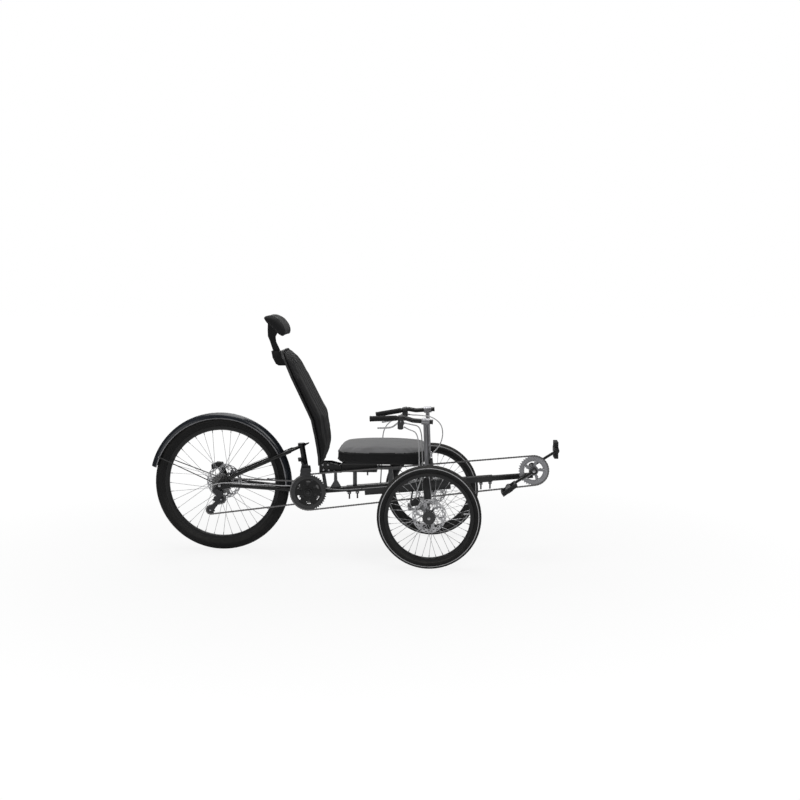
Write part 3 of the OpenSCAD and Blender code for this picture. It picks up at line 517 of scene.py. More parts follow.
def perforated(builder: Builder, centre: Point, radii: Sequence[float], segments: int, t: float,
               keep: Callable[[int, int], bool]) -> None:
    """A disc across the axle with windows.

    Args:
        builder: Where the faces go.
        centre: The disc's middle.
        radii: Radii that split it into bands.
        segments: Steps around.
        t: Thickness.
        keep: Tells whether the cell of a band and a step is metal.
    """
    c = Vector(centre)
    points = [c + Vector((r * math.cos(a), s * t / 2, r * math.sin(a)))
              for s in (1, -1) for r in radii for a in (2 * math.pi * k / segments for k in range(segments))]
    bands = len(radii)

    def index(side: int, band: int, step: int) -> int:
        """Number of a grid point."""
        return (side * bands + band) * segments + step % segments

    def solid(band: int, step: int) -> bool:
        """Whether a cell is metal."""
        return 0 <= band < bands - 1 and keep(band, step % segments)

    faces: list[Sequence[int]] = []
    for b in range(bands - 1):
        for k in range(segments):
            if not solid(b, k):
                continue
            for side in (0, 1):
                quad = [index(side, b, k), index(side, b + 1, k),
                        index(side, b + 1, k + 1), index(side, b, k + 1)]
                faces.append(quad if side == 0 else quad[::-1])
            walls = [((b, k), (b, k + 1), solid(b - 1, k)), ((b + 1, k), (b + 1, k + 1), solid(b + 1, k)),
                     ((b, k), (b + 1, k), solid(b, k - 1)), ((b, k + 1), (b + 1, k + 1), solid(b, k + 1))]
            faces += [(index(0, *p), index(0, *q), index(1, *q), index(1, *p))
                      for p, q, joined in walls if not joined]
    builder.add(points, faces)


# ---- studio --------------------------------------------------------------------------------
@dataclass
class Studio:
    """Camera, lamps, world and floor."""

    eye: Point = (1143.2, -6092.4, 1391.6)
    pitch: float = 0.104
    yaw: float = 0.0418
    lens: float = 55.85
    floor_size: float = 60.0

    def camera(self) -> None:
        """Makes the camera."""
        data = bpy.data.cameras.new("camera")
        data.lens = self.lens
        data.sensor_width = 36.0
        data.clip_end = 200.0
        camera = bpy.data.objects.new("camera", data)
        camera.location = at(*self.eye)
        camera.rotation_euler = (math.pi / 2 - self.pitch, 0, self.yaw)
        bpy.context.scene.collection.objects.link(camera)
        bpy.context.scene.camera = camera

    def lamp(self, name: str, place: Point, power: float, size: float) -> None:
        """A soft area lamp that looks at the seat."""
        data = bpy.data.lights.new(name, "AREA")
        data.energy = power
        data.size = size
        lamp = bpy.data.objects.new(name, data)
        lamp.location = Vector(place)
        lamp.rotation_euler = (Vector((0, 0, 0.5)) - lamp.location).to_track_quat("-Z", "Y").to_euler()
        bpy.context.scene.collection.objects.link(lamp)

    def lights(self) -> None:
        """Makes the lamps and the world."""
        self.lamp("key", (2.2, -3.2, 3.6), 62, 2.6)
        self.lamp("top", (-0.3, 0.4, 4.4), 95, 3.2)
        self.lamp("fill", (-3.4, -2.6, 2.0), 12, 2.4)
        self.lamp("back", (-1.0, 3.6, 2.6), 45, 2.6)
        world = bpy.data.worlds.new("studio")
        bpy.context.scene.world = world
        world.use_nodes = True
        tree = world.node_tree
        path = tree.nodes.new("ShaderNodeLightPath")
        seen = self.seen(tree, path)
        background = tree.nodes["Background"]
        background.inputs["Color"].default_value = (1, 1, 1, 1)
        strength = tree.nodes.new("ShaderNodeMapRange")
        strength.inputs["To Min"].default_value = 0.055
        strength.inputs["To Max"].default_value = 1.0
        tree.links.new(seen, strength.inputs["Value"])
        tree.links.new(strength.outputs[0], background.inputs["Strength"])

    def seen(self, tree: bpy.types.NodeTree, path: bpy.types.Node) -> bpy.types.NodeSocket:
        """1 for rays that come from the camera, or through glass.

        Args:
            tree: The nodes' tree.
            path: Its Light Path node.

        Returns:
            The socket that says so.
        """
        most = tree.nodes.new("ShaderNodeMath")
        most.operation = "MAXIMUM"
        tree.links.new(path.outputs["Is Camera Ray"], most.inputs[0])
        tree.links.new(path.outputs["Is Transmission Ray"], most.inputs[1])
        return most.outputs[0]

    def floor(self) -> None:
        """A plain white floor that keeps only the trike's soft shadow."""
        bpy.ops.mesh.primitive_plane_add(size=self.floor_size, location=(0, 0, -0.0005))
        floor = bpy.context.object
        floor.name = "floor"
        material = bpy.data.materials.new("floor")
        material.use_nodes = True
        tree = material.node_tree
        matt = tree.nodes["Principled BSDF"]
        matt.inputs["Base Color"].default_value = (0.86, 0.86, 0.86, 1)
        matt.inputs["Roughness"].default_value = 0.9
        glow = tree.nodes.new("ShaderNodeEmission")
        glow.inputs["Strength"].default_value = 1.02
        blend = tree.nodes.new("ShaderNodeMixShader")
        seen = self.seen(tree, tree.nodes.new("ShaderNodeLightPath"))
        place = tree.nodes.new("ShaderNodeTexCoord")
        far = tree.nodes.new("ShaderNodeVectorMath")
        far.operation = "LENGTH"
        tree.links.new(place.outputs["Object"], far.inputs[0])
        fade = tree.nodes.new("ShaderNodeMapRange")
        for name, value in (("From Min", 0.9), ("From Max", 2.6), ("To Min", 0.84), ("To Max", 1.0)):
            fade.inputs[name].default_value = value
        tree.links.new(far.outputs["Value"], fade.inputs["Value"])
        share = tree.nodes.new("ShaderNodeMath")
        share.operation = "MULTIPLY"
        tree.links.new(seen, share.inputs[0])
        tree.links.new(fade.outputs[0], share.inputs[1])
        tree.links.new(share.outputs[0], blend.inputs[0])
        tree.links.new(matt.outputs[0], blend.inputs[1])
        tree.links.new(glow.outputs[0], blend.inputs[2])
        tree.links.new(blend.outputs[0], tree.nodes["Material Output"].inputs["Surface"])
        floor.data.materials.append(material)

    def build(self) -> None:
        """Makes everything around the trike."""
        self.camera()
        self.lights()
        self.floor()
        bpy.context.scene.view_settings.view_transform = "Standard"


# ---- wheels --------------------------------------------------------------------------------
@dataclass
class Wheel:
    """One spoked wheel.

    Attributes:
        name: "rear", "right" or "left".
        joint: The joint that it spins on.
        outer: Outer radius of the tyre.
        width: Width of the tyre.
        rim_out: Outer radius of the rim.
        rim_in: Inner radius of the rim.
        flange_r: Radius at which spokes leave the hub.
        flanges: y of both flanges from the wheel's middle.
        inward: Direction along y from the wheel towards the brake disc.
        disc_y: Distance of the brake disc from the wheel's middle.
        disc_r: Radius of the brake disc.
        steps: The hub's steps, each [from y, to y, radius], towards the brake disc.
        band_r: Radius of the reflecting band, or 0.
        rim_w: Width of the rim.
        count: Number of spokes.
    """

    name: str
    joint: str
    outer: float
    width: float
    rim_out: float
    rim_in: float
    flange_r: float
    flanges: tuple[float, float]
    inward: int
    disc_y: float
    disc_r: float
    steps: Sequence[tuple[float, float, float]]
    band_r: float = 0.0
    rim_w: float = 27.0
    count: int = 36
    bore: float = 6.05

    def node(self, part: str) -> str:
        """Name of the wheel's node for a part."""
        return f"rear_{part}" if self.name == "rear" else f"{part}_{self.name}"

    def body(self) -> str:
        """The body that spins."""
        return f"{self.name}_wheel"

    def centre(self) -> Vector:
        """The wheel's middle."""
        return pivot(self.joint)

    def finish(self, builder: Builder, part: str, slot: str) -> bpy.types.Object:
        """Makes a piece that stands for one of the wheel's nodes."""
        node = self.node(part)
        piece = builder.object(f"{node}_shape", self.body(), slot)
        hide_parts(node)
        return piece

    def tyre(self) -> None:
        """Tyre with a grooved tread, moulded side ribs and a reflecting band."""
        builder = Builder().use("tyre_rubber")
        centre, half = self.centre(), self.width / 2
        tread = 2.2
        crown = self.outer - half
        angles = [math.radians(a) for a in range(-115, 116, 10)]
        skin = [(crown + (half - tread * max(0.0, math.cos(a)) ** 0.5) * math.cos(a), half * math.sin(a))
                for a in angles]
        profile = [(self.rim_out, 2 - self.rim_w / 2), *skin, (self.rim_out, self.rim_w / 2 - 2)]
        builder.lathe(centre, profile, 120)
        for turn in (-1, 1):
            for a in (62, 84):
                lean = math.radians(a)
                r, y = crown + half * math.cos(lean), turn * half * math.sin(lean) * 0.99
                builder.lathe(centre, [(r - 1.1, y), (r, y + turn * 0.5), (r + 1.1, y)], 120)
        blocks = round(2 * math.pi * self.outer / 16)
        rows = [(0.0, 9.0, 0.0), (26.0, 8.0, 0.5), (-26.0, 8.0, 0.5), (48.0, 6.5, 0.0), (-48.0, 6.5, 0.0)]
        for lean, wide, shift in rows:
            tilt = math.radians(lean)
            for k in range(blocks):
                a = 2 * math.pi * (k + shift) / blocks
                out = Vector((math.cos(a) * math.cos(tilt), math.sin(tilt), math.sin(a) * math.cos(tilt)))
                forward = Vector((-math.sin(a), 0, math.cos(a)))
                turn_to = Matrix((forward, out.cross(forward), out)).transposed()
                middle = centre + Vector((math.cos(a), 0, math.sin(a))) * crown + out * (half - 1.35)
                builder.box(middle, (11.5, wide, 2.6), turn_to)
        if self.band_r:
            builder.use("reflex_band")
            lift = math.acos(max(-1.0, (self.band_r - crown) / half))
            y = half * math.sin(lift) + 0.25
            for turn in (-1, 1):
                band = [(-2, y - 0.4), (-1.6, y), (1.6, y), (2, y - 0.9)]
                builder.lathe(centre, [(self.band_r + out, turn * across) for out, across in band], 120)
        self.finish(builder, "tyre", "tyre_rubber")

    def rim(self) -> None:
        """Double-walled rim with a valve and spoke eyelets."""
        builder = Builder().use("rim_black")
        half, centre = self.rim_w / 2, self.centre()
        deep = self.rim_out - self.rim_in
        builder.lathe(centre, [
            (self.rim_in, -half + 8), (self.rim_in + deep * 0.25, -half + 1.5), (self.rim_out - 4, -half),
            (self.rim_out, -half), (self.rim_out, half), (self.rim_out - 4, half),
            (self.rim_in + deep * 0.25, half - 1.5), (self.rim_in, half - 8)], 144)
        builder.use("bright_steel")
        for k in range(self.count):
            a = 2 * math.pi * k / self.count
            out = Vector((math.cos(a), 0, math.sin(a)))
            foot = centre + out * (self.rim_in + 0.4)
            builder.tube([foot, foot - out * 1.2], [3.2, 2.6], 10)
        a = math.pi / self.count
        out = Vector((math.cos(a), 0, math.sin(a)))
        rim, neck, tip = (centre + out * (self.rim_in + reach) for reach in (1, -34, -42))
        builder.use("bright_steel").rod(rim, neck, 3.2, 12)
        builder.use("rim_black").rod(neck + out * 4, tip, 4.2, 12)
        self.finish(builder, "rim", "rim_black")

    def spokes(self) -> None:
        """Crossed spokes with elbows and nipples."""
        builder = Builder().use("spoke_steel")
        centre = self.centre()
        lace = math.radians(3 * 2 * 360 / self.count)
        for i in range(self.count):
            flange = self.flanges[i % 2]
            turn = 1 if (i // 2) % 2 == 0 else -1
            a = 2 * math.pi * i / self.count
            b = a - turn * lace
            start = centre + Vector((self.flange_r * math.cos(b), flange + turn * 2.2,
                                     self.flange_r * math.sin(b)))
            foot = math.copysign(3, flange) + turn * 1.6
            reach = self.rim_in - 0.4
            end = centre + Vector((reach * math.cos(a), foot, reach * math.sin(a)))
            along = unit(end - start)
            builder.tube([start + Vector((0, -turn * 2.4, 0)), start, end - along * 12], [1.3, 1.15, 1.0], 8)
            builder.tube([end - along * 12, end - along * 11, end], [1.2, 2.0, 2.1], 8)
        self.finish(builder, "spokes", "spoke_steel")

    def hub(self) -> None:
        """Hub shell with its flanges and its brake disc."""
        builder = Builder().use("hub_black")
        centre, side = self.centre(), self.inward
        outline: list[tuple[float, float]] = []
        for low, high, r in self.steps:
            c = min(1.2, (high - low) / 3)
            outline += [(r - c, side * low), (r, side * (low + c)),
                        (r, side * (high - c)), (r - c, side * high)]
        profile = [(self.bore, side * self.steps[0][0]), *outline, (self.bore, side * self.steps[-1][1])]
        builder.lathe(centre, profile, 48)
        builder.use("bright_steel")
        y = centre.y + side * self.disc_y
        middle = (centre.x, y, centre.z)
        r0, r1 = 17.0, self.disc_r
        radii = [r0, 30, (30 + r1 - 18) / 2, r1 - 18, r1 - 15, r1 - 10.5, r1 - 7.5, r1 - 3.5, r1]

        def keep(band: int, step: int) -> bool:
            """Arms inside, a drilled brake band outside."""
            if band in (1, 2):
                return (step + 4 * band) % 24 < 7
            if band == 4:
                return step % 8 not in (2, 3, 4)
            if band == 6:
                return (step + 4) % 8 not in (2, 3, 4)
            return True

        perforated(builder, middle, radii, 144, 1.9, keep)
        for k in range(6):
            a = math.pi * k / 3
            builder.bolt((centre.x + 22.5 * math.cos(a), y + side * 0.9, centre.z + 22.5 * math.sin(a)),
                         (0, side, 0), 3.4, 1.6)
        self.finish(builder, "hub", "hub_black")

    def build(self) -> None:
        """Makes the whole wheel."""
        self.tyre()
        self.rim()
        self.spokes()
        self.hub()


# ---- seat ----------------------------------------------------------------------------------
def plump(piece: bpy.types.Object, voxel: float, cap: float, held: Callable[[Vector], bool]) -> None:
    """Fills a pad by a short pressure simulation and applies the result.

    Args:
        piece: The pad.
        voxel: Size of its cloth's quads in metres.
        cap: The furthest that a point may move, in metres.
        held: Tells whether a point rests on the shell and stays.
    """
    remesh = piece.modifiers.new("remesh", "REMESH")
    remesh.mode = "VOXEL"
    remesh.voxel_size = voxel
    bpy.context.view_layer.objects.active = piece
    bpy.ops.object.modifier_apply(modifier="remesh")
    count = len(piece.data.vertices)
    before = np.zeros(count * 3)
    piece.data.vertices.foreach_get("co", before)
    before = before.reshape(-1, 3)
    pinned = piece.vertex_groups.new(name="held")
    pinned.add([i for i, v in enumerate(before) if held(Vector(v))], 1.0, "REPLACE")
    cloth = piece.modifiers.new("cloth", "CLOTH")
    cloth.settings.use_pressure = True
    cloth.settings.uniform_pressure_force = 4.0
    cloth.settings.effector_weights.gravity = 0.0
    cloth.settings.vertex_group_mass = "held"
    cloth.settings.quality = 4
    cloth.settings.bending_stiffness = 4.0
    for number in range(1, 21):
        bpy.context.scene.frame_set(number)
    evaluated = piece.evaluated_get(bpy.context.evaluated_depsgraph_get())
    after = np.zeros(count * 3)
    evaluated.data.vertices.foreach_get("co", after)
    moved = after.reshape(-1, 3) - before
    far = np.linalg.norm(moved, axis=1, keepdims=True)
    moved *= np.minimum(1.0, cap / np.maximum(far, 1e-9))
    piece.modifiers.remove(cloth)
    piece.data.vertices.foreach_set("co", (before + moved).ravel())
    bpy.context.scene.frame_set(1)
    piece.data.update()
    piece.data.polygons.foreach_set("use_smooth", [True] * len(piece.data.polygons))
    relax = piece.modifiers.new("relax", "SMOOTH")
    relax.iterations = 4


def laid_on(pad: bpy.types.Object, line: Sequence[Point], lift: float) -> list[Vector]:
    """Lays a line on a pad's surface.

    Args:
        pad: The finished pad.
        line: Points near its surface, in millimetres.
        lift: How far the laid line stands out of it.

    Returns:
        The laid points in millimetres.
    """
    out = []
    for p in line:
        _, spot, normal, _ = pad.closest_point_on_mesh(at(*p))
        spot = spot + normal * lift / 1000
        out.append(Vector(((spot.x - REAR_AXLE.x) * 1000, spot.y * 1000, spot.z * 1000)))
    return out


def rounded(points: Sequence[tuple[float, float]], radius: float,
            steps: int = 5) -> list[tuple[float, float]]:
    """The outline with each corner rounded by an arc-like curve."""
    out = []
    n = len(points)
    for i in range(n):
        before, here, after = (Vector(points[(i + k) % n]) for k in (-1, 0, 1))
        r = min(radius, (before - here).length * 0.45, (after - here).length * 0.45)
        a, b = here + unit(before - here) * r, here + unit(after - here) * r
        for k in range(steps + 1):
            t = k / steps
            p = (1 - t) ** 2 * a + 2 * t * (1 - t) * here + t * t * b
            out.append((p.x, p.y))
    return out


@dataclass
class Cushion:
    """The seat's cushion: a crowned pad with dark sides, two rows of piping and upward top faces in a lighter grey,
    which is painted light from above.
    """

    rear: float = 584.0
    length: float = 455.0
    width: float = 430.0
    low: float = 466.3
    high: float = 536.0
    crown: float = 12.0
    inset: float = 1.0

    def outline(self, inset: float) -> list[tuple[float, float]]:
        """The cushion seen from above, drawn in by inset."""
        x0, x1, y = self.rear + inset, self.rear + self.length - inset, self.width / 2 - inset
        flat = [(x0 + 90, -y), (x1 - 110, -y), (x1 - 30, -y + 45), (x1, -y + 110), (x1, y - 110),
                (x1 - 30, y - 45), (x1 - 110, y), (x0 + 90, y), (x0 + 22, y - 36), (x0, y - 95), (x0, 95 - y),
                (x0 + 22, 36 - y)]
        return rounded(flat, 90.0, 7)

    def pad(self) -> bpy.types.Object:
        """The stuffed pad."""
        builder = Builder().use("seat_cover")
        levels = [(self.low, 16), (self.low + 3, self.inset + 4), (self.low + 12, self.inset),
                  (self.high - 28, self.inset), (self.high - 18, self.inset + 2),
                  (self.high - 9, self.inset + 9), (self.high - 2, self.inset + 24), (self.high + self.crown * 0.4, 62),
                  (self.high + self.crown * 0.8, 105), (self.high + self.crown, 150)]
        builder.loft([[Vector((x, y, z)) for x, y in self.outline(inset)] for z, inset in levels])
        piece = builder.object("seat_cushion_pad", "", "seat_cover")
        floor = at(0, 0, self.low).z + 0.002
        plump(piece, 0.0055, 0.006, lambda v: v.z < floor)
        # The upward faces of the top get the lighter grey copy of the cover: painted light from above on the same black
        # cloth.
        piece.data.materials.append(SHELF.get("seat_cover_painted_lit_top"))
        top = at(0, 0, self.high - 16).z
        for face in piece.data.polygons:
            if face.normal.z > 0.3 and face.center.z > top:
                face.material_index = 1
        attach(piece, "frame")
        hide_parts("seat_cushion")
        return piece

    def piping(self, pad: bpy.types.Object) -> None:
        """Piping along the upper and the lower edge of the pad."""
        builder = Builder().use("seat_cover")
        for z, inset in ((self.high - 20, self.inset), (self.low + 10, self.inset)):
            line = laid_on(pad, [(x, y, z) for x, y in self.outline(inset)], 0.5)
            builder.tube([*line, line[0]], 2.4, 10)
        piece = builder.object("seat_cushion_piping", "frame", "seat_cover")

    def build(self) -> None:
        """Makes the cushion."""
        self.piping(self.pad())


@dataclass
class Backrest:
    """Backrest pad and the ribs of its shell.

    Attributes:
        rows: Each row is [height, front of the pad, back of the shell].
        shell: Thickness of the shell.
        width: Width at mid height.
    """

    rows: Sequence[tuple[float, float, float]] = (
        (446, 508, 495), (492, 532, 496), (530, 536, 493), (600, 528, 483), (674, 518, 468),
        (710, 497, 452), (965, 369, 333), (1004, 338, 312))
    shell: float = 11.0
    width: float = 400.0
    sides: Sequence[tuple[float, float]] = ((450, 60), (520, 20), (620, 0), (880, 0), (970, 30), (1004, 84))

    def read(self, z: float, column: int) -> float:
        """A column of rows at height z."""
        return float(np.interp(z, [r[0] for r in self.rows], [r[column] for r in self.rows]))

    def half(self, z: float) -> float:
        """Half the width at height z."""
        cut = float(np.interp(z, [s[0] for s in self.sides], [s[1] for s in self.sides]))
        return self.width / 2 - cut

    def slice(self, z: float, grow: float) -> list[Vector]:
        """The pad's outline at height z; grow is its share of the full thickness."""
        back = self.read(z, 2) + self.shell + 0.6
        front = back + (self.read(z, 1) - back) * grow
        w = (self.half(z) - 7) * (0.94 + 0.06 * grow)
        r = min(18.0, (front - back) * 0.9)
        flat = [(back, -w), (front - r * 0.35, -w + 1), (front - 4, -w + r),
                (front, -w * 0.45), (front + 1, 0),
                (front, w * 0.45), (front - 4, w - r), (front - r * 0.35, w - 1), (back, w)]
        return [Vector((x, y, z)) for x, y in rounded(flat, 14.0, 3)]

    def pad(self) -> bpy.types.Object:
        """The stuffed pad on the shell's front."""
        builder = Builder().use("seat_cover")
        heights = [450, 454, 462, 492, 530, 565, 600, 640, 674, 692, 710, 760, 820, 880, 930, 965,
                   985, 994, 998]
        shares = [0.35, 0.7, 0.9] + [1.0] * 13 + [0.92, 0.75, 0.45]
        builder.loft([self.slice(z, s) for z, s in zip(heights, shares)])
        piece = builder.object("backrest_pad_cover", "", "seat_cover")

        def held(v: Vector) -> bool:
            """Whether a point lies on the shell."""
            return (v.x - REAR_AXLE.x) * 1000 < self.read(v.z * 1000, 2) + self.shell + 5

        plump(piece, 0.0055, 0.006, held)
        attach(piece, "frame")
        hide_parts("backrest_pad")
        return piece

    def channels(self, pad: bpy.types.Object) -> None:
        """Sewn cords that run down the pad's front, and the edge's piping."""
        builder = Builder().use("seat_cover")
        heights = [float(z) for z in range(475, 971, 15)]
        for y in (-110, -55, 0, 55, 110):
            builder.tube(laid_on(pad, [(self.read(z, 1), y, z) for z in heights], 0.1), 1.5, 8)
        edge = [(self.read(z, 1) - 5, self.half(z) - 9, z) for z in heights]
        for side in (RIGHT, LEFT):
            builder.tube(laid_on(pad, [(x, side * y, z) for x, y, z in edge], 0.1), 2.0, 8)
        piece = builder.object("backrest_pad_seams", "frame", "seat_cover")

    def ribs(self) -> None:
        """Moulded ribs and a rim on the back of the shell."""
        builder = Builder().use("shell_black")
        for y in (-120, -60, 60, 120):
            line = [(self.read(z, 2) - 0.4, y, z) for z in range(500, 951, 30)]
            builder.tube(smooth_line(line, 2), 3.2, 8)
        for z in (560, 660, 760, 860):
            w = self.half(z) - 24
            builder.tube([(self.read(z, 2) - 0.4, y, z) for y in (-w, 0, w)], 3.0, 8)
        for side in (RIGHT, LEFT):
            line = [(self.read(z, 2) + 5, side * (self.half(z) - 3), z) for z in range(470, 991, 20)]
            builder.tube(smooth_line(line, 2), 4.0, 8)
        builder.use("bright_steel")
        for z in (590, 630):
            for side in (RIGHT, LEFT):
                builder.bolt((self.read(z, 2), side * 30, z), (-1, 0, 0.1), 6, 4)
        builder.object("backrest_shell_ribs", "frame", "shell_black")

    def build(self) -> None:
        """Makes the backrest."""
        self.channels(self.pad())
        self.ribs()


@dataclass
class Headrest:
    """A curved pad on its arm."""

    width: float = 250.0
    outline: Sequence[tuple[float, float]] = (
        (226, 1163), (236, 1173), (264, 1173), (300, 1156), (324, 1128), (336, 1100), (335, 1074),
        (322, 1070), (300, 1092), (264, 1126))

    def slice(self, y: float, share: float) -> list[Vector]:
        """The pad's side view at y, drawn in towards its middle."""
        middle = Vector((281.0, 1126.0))
        points = rounded(self.outline, 12.0, 3)
        return [Vector((middle.x + (x - middle.x) * share, y, middle.y + (z - middle.y) * share))
                for x, z in points]

    def build(self) -> None:
        """Makes the pad and its piping."""
        builder = Builder().use("seat_cover")
        w = self.width / 2
        places = [(-w, 0.62), (-w + 3, 0.8), (-w + 10, 0.91), (-w + 24, 0.97), (-w * 0.4, 0.975), (0, 0.97),
                  (w * 0.4, 0.975), (w - 24, 0.97), (w - 10, 0.91), (w - 3, 0.8), (w, 0.62)]
        builder.loft([self.slice(y, share) for y, share in places])
        piece = builder.object("headrest_cover", "", "seat_cover")
        plump(piece, 0.005, 0.004, lambda v: False)
        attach(piece, "frame")
        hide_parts("headrest_pad")
        seam = Builder().use("seat_cover")
        for side in (RIGHT, LEFT):
            line = laid_on(piece, self.slice(side * (w - 20), 0.97), 0.1)
            seam.tube([*line, line[0]], 1.4, 8)
        seam.object("headrest_piping", "frame", "seat_cover")


# ---- drive ---------------------------------------------------------------------------------
Pulley = tuple[float, float, float, int]


@dataclass
class Drive:
    """Chains, toothed rings and pedals' details.

    Attributes:
        pitch: Distance of a chain's pins.
        front_y: Chain line of the front chain.
        rear_y: Chain line of the rear chain.
    """

    pitch: float = 12.7
    front_y: float = -61.0
    rear_y: float = -53.0
    teeth: tuple[int, int, int, int] = (36, 44, 26, 15)
    upper_jockey: Point = (2.0, 262.0)
    lower_jockey: Point = (-52.0, 208.0)
    jockey_r: float = 22.0
    cogs: Sequence[tuple[int, float]] = ((26, -32.5), (23, -37), (21, -42), (19, -47), (15, -53), (13, -58))

    def radius(self, teeth: int) -> float:
        """Pitch radius of a ring."""
        return self.pitch / (2 * math.sin(math.pi / teeth))

    def belt(self, pulleys: Sequence[Pulley]) -> list[Vector]:
        """The closed line of a chain around its pulleys.

        Args:
            pulleys: Each is (x, z, radius, turn), where turn is 1 to the left and -1 to the right.

        Returns:
            Points of the line as (x, z).
        """
        def heading(a: Pulley, b: Pulley) -> float:
            """Direction of the straight run from a to b."""
            gap = math.hypot(b[0] - a[0], b[1] - a[1])
            return math.atan2(b[1] - a[1], b[0] - a[0]) - math.asin((b[2] * b[3] - a[2] * a[3]) / gap)

        line = []
        for i, here in enumerate(pulleys):
            before = heading(pulleys[i - 1], here)
            after = heading(here, pulleys[(i + 1) % len(pulleys)])
            full, turn = 2 * math.pi, here[3]
            sweep = turn * ((turn * (after - before) + 2 * full) % full)
            reach = here[2] * here[3]
            for k in range(25):
                a = before + sweep * k / 24
                line.append(Vector((here[0] + reach * math.sin(a), here[1] - reach * math.cos(a))))
        return line

    def pins(self, line: Sequence[Vector]) -> list[Vector]:
        """Places of the pins, one pitch apart along the closed line."""
        closed = [*line, line[0]]
        steps = [0.0, *np.cumsum([(b - a).length for a, b in zip(closed, closed[1:])])]
        links = 2 * round(steps[-1] / self.pitch / 2)
        where = [steps[-1] * k / links for k in range(links)]
        across, up = [p.x for p in closed], [p.y for p in closed]
        return [Vector((np.interp(s, steps, across), np.interp(s, steps, up))) for s in where]

    def chain(self, name: str, y: float, pulleys: Sequence[Pulley]) -> list[Vector]:
        """Makes a chain of links.

        Args:
            name: The node that it stands for.
            y: Its chain line.
            pulleys: What it runs around.

        Returns:
            The places of its pins.
        """
        pins = self.pins(self.belt(pulleys))
        builder = Builder().use("chain_steel")
        for i, a in enumerate(pins):
            b = pins[(i + 1) % len(pins)]
            d = (b - a).normalized()
            n = Vector((-d.y, d.x))
            half = a + (b - a) / 2
            shape = [(a, -d - n * 0.55, 3.4), (a, -n, 4.0), (half, -n, 3.0), (b, -n, 4.0),
                     (b, d - n * 0.55, 3.4), (b, d + n * 0.55, 3.4), (b, n, 4.0), (half, n, 3.0),
                     (a, n, 4.0), (a, -d + n * 0.55, 3.4)]
            outline = [tuple(p + v.normalized() * r) for p, v, r in shape]
            out = 2.9 if i % 2 else 1.95
            for side in (-1, 1):
                builder.plate(outline, y + side * out, 0.85)
            builder.tube([(a.x, y - 3.4, a.y), (a.x, y + 3.4, a.y)], 1.8, 8)
        piece = builder.object(f"{name}_links", "frame", "chain_steel")
        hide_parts(name)
        return pins

    def phase(self, pins: Sequence[Vector], x: float, z: float, away: float) -> float:
        """Angle around (x, z) of the pin nearest to the direction away."""
        target = Vector((x + 50 * math.cos(away), z + 50 * math.sin(away)))
        nearest = min(pins, key=lambda p: (p - target).length)
        return math.atan2(nearest.y - z, nearest.x - x)

    def ring(self, builder: Builder, place: Point, teeth: int, phase: float, inner: float, t: float) -> None:
        """A toothed ring.

        Args:
            builder: Where the faces go.
            place: The ring's middle.
            teeth: Number of teeth.
            phase: Angle of a gap between teeth.
            inner: Radius of its opening.
            t: Thickness.
        """
        r, n = self.radius(teeth), teeth * 8
        shape = [-3.9, -3.6, -2.0, 1.0, 2.6, 1.0, -2.0, -3.6]
        outer, opening = [], []
        for k in range(n):
            a = phase + 2 * math.pi * k / n
            edge = r + shape[k % 8]
            outer.append((place[0] + edge * math.cos(a), place[2] + edge * math.sin(a)))
            opening.append((place[0] + inner * math.cos(a), place[2] + inner * math.sin(a)))
        builder.ringed_plate(outer, opening, place[1], t)

    def front(self) -> None:
        """Front chain, silver chainring with its arms, and the black rings in the middle."""
        crank, middle = pivot("crank_spin"), pivot("jackshaft_spin")
        small, large = (self.radius(n) for n in self.teeth[:2])
        pulleys = [(middle.x, middle.z, large, -1), (crank.x, crank.z, small, -1)]
        pins = self.chain("front_chain", self.front_y, pulleys)
        builder = Builder().use("silver_alloy")
        place = (crank.x, self.front_y, crank.z)
        self.ring(builder, place, self.teeth[0], self.phase(pins, crank.x, crank.z, 0), 52, 2.2)
        perforated(builder, place, [14.1, 24, 38, 46, 53], 120, 4.0,
                   lambda band, step: band in (0, 3) or (step + 2) % 24 < (9 if band == 1 else 7))
        for k in range(5):
            a = 2 * math.pi * (k + 0.15) / 5
            spot = (crank.x + 49.5 * math.cos(a), self.front_y - 2, crank.z + 49.5 * math.sin(a))
            builder.use("bright_steel").bolt(spot, (0, -1, 0), 4.6, 1.8)
        piece = builder.object("front_chainring_toothed", "crank_set", "silver_alloy")
        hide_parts("front_chainring")

        builder = Builder().use("crank_black")
        self.ring(builder, (middle.x, self.front_y, middle.z), self.teeth[1],
                  self.phase(pins, middle.x, middle.z, math.pi), 66, 2.2)
        perforated(builder, (middle.x, self.front_y, middle.z), [16, 30, 44, 58, 67], 120, 2.6,
                   lambda band, step: band in (0, 3) or (step + 3 * band) % 20 < 12)
        rear_pins = self.rear()
        self.ring(builder, (middle.x, self.rear_y, middle.z), self.teeth[2],
                  self.phase(rear_pins, middle.x, middle.z, 0), 16, 2.2)
        spindle = [(2, -78), (9.5, -76), (12, -72), (18, -71.5), (18, -50), (10, -49), (10, 43.5), (8, 44),
                   (2, 44)]
        builder.lathe((middle.x, 0, middle.z), spindle, 32)
        for k in range(5):
            a = 2 * math.pi * k / 5
            spot = (middle.x + 62 * math.cos(a), self.front_y - 1.3, middle.z + 62 * math.sin(a))
            builder.use("dark_alloy").bolt(spot, (0, -1, 0), 4.2, 1.8)
        piece = builder.object("middle_rings_toothed", "jackshaft", "crank_black")
        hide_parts("middle_rings")

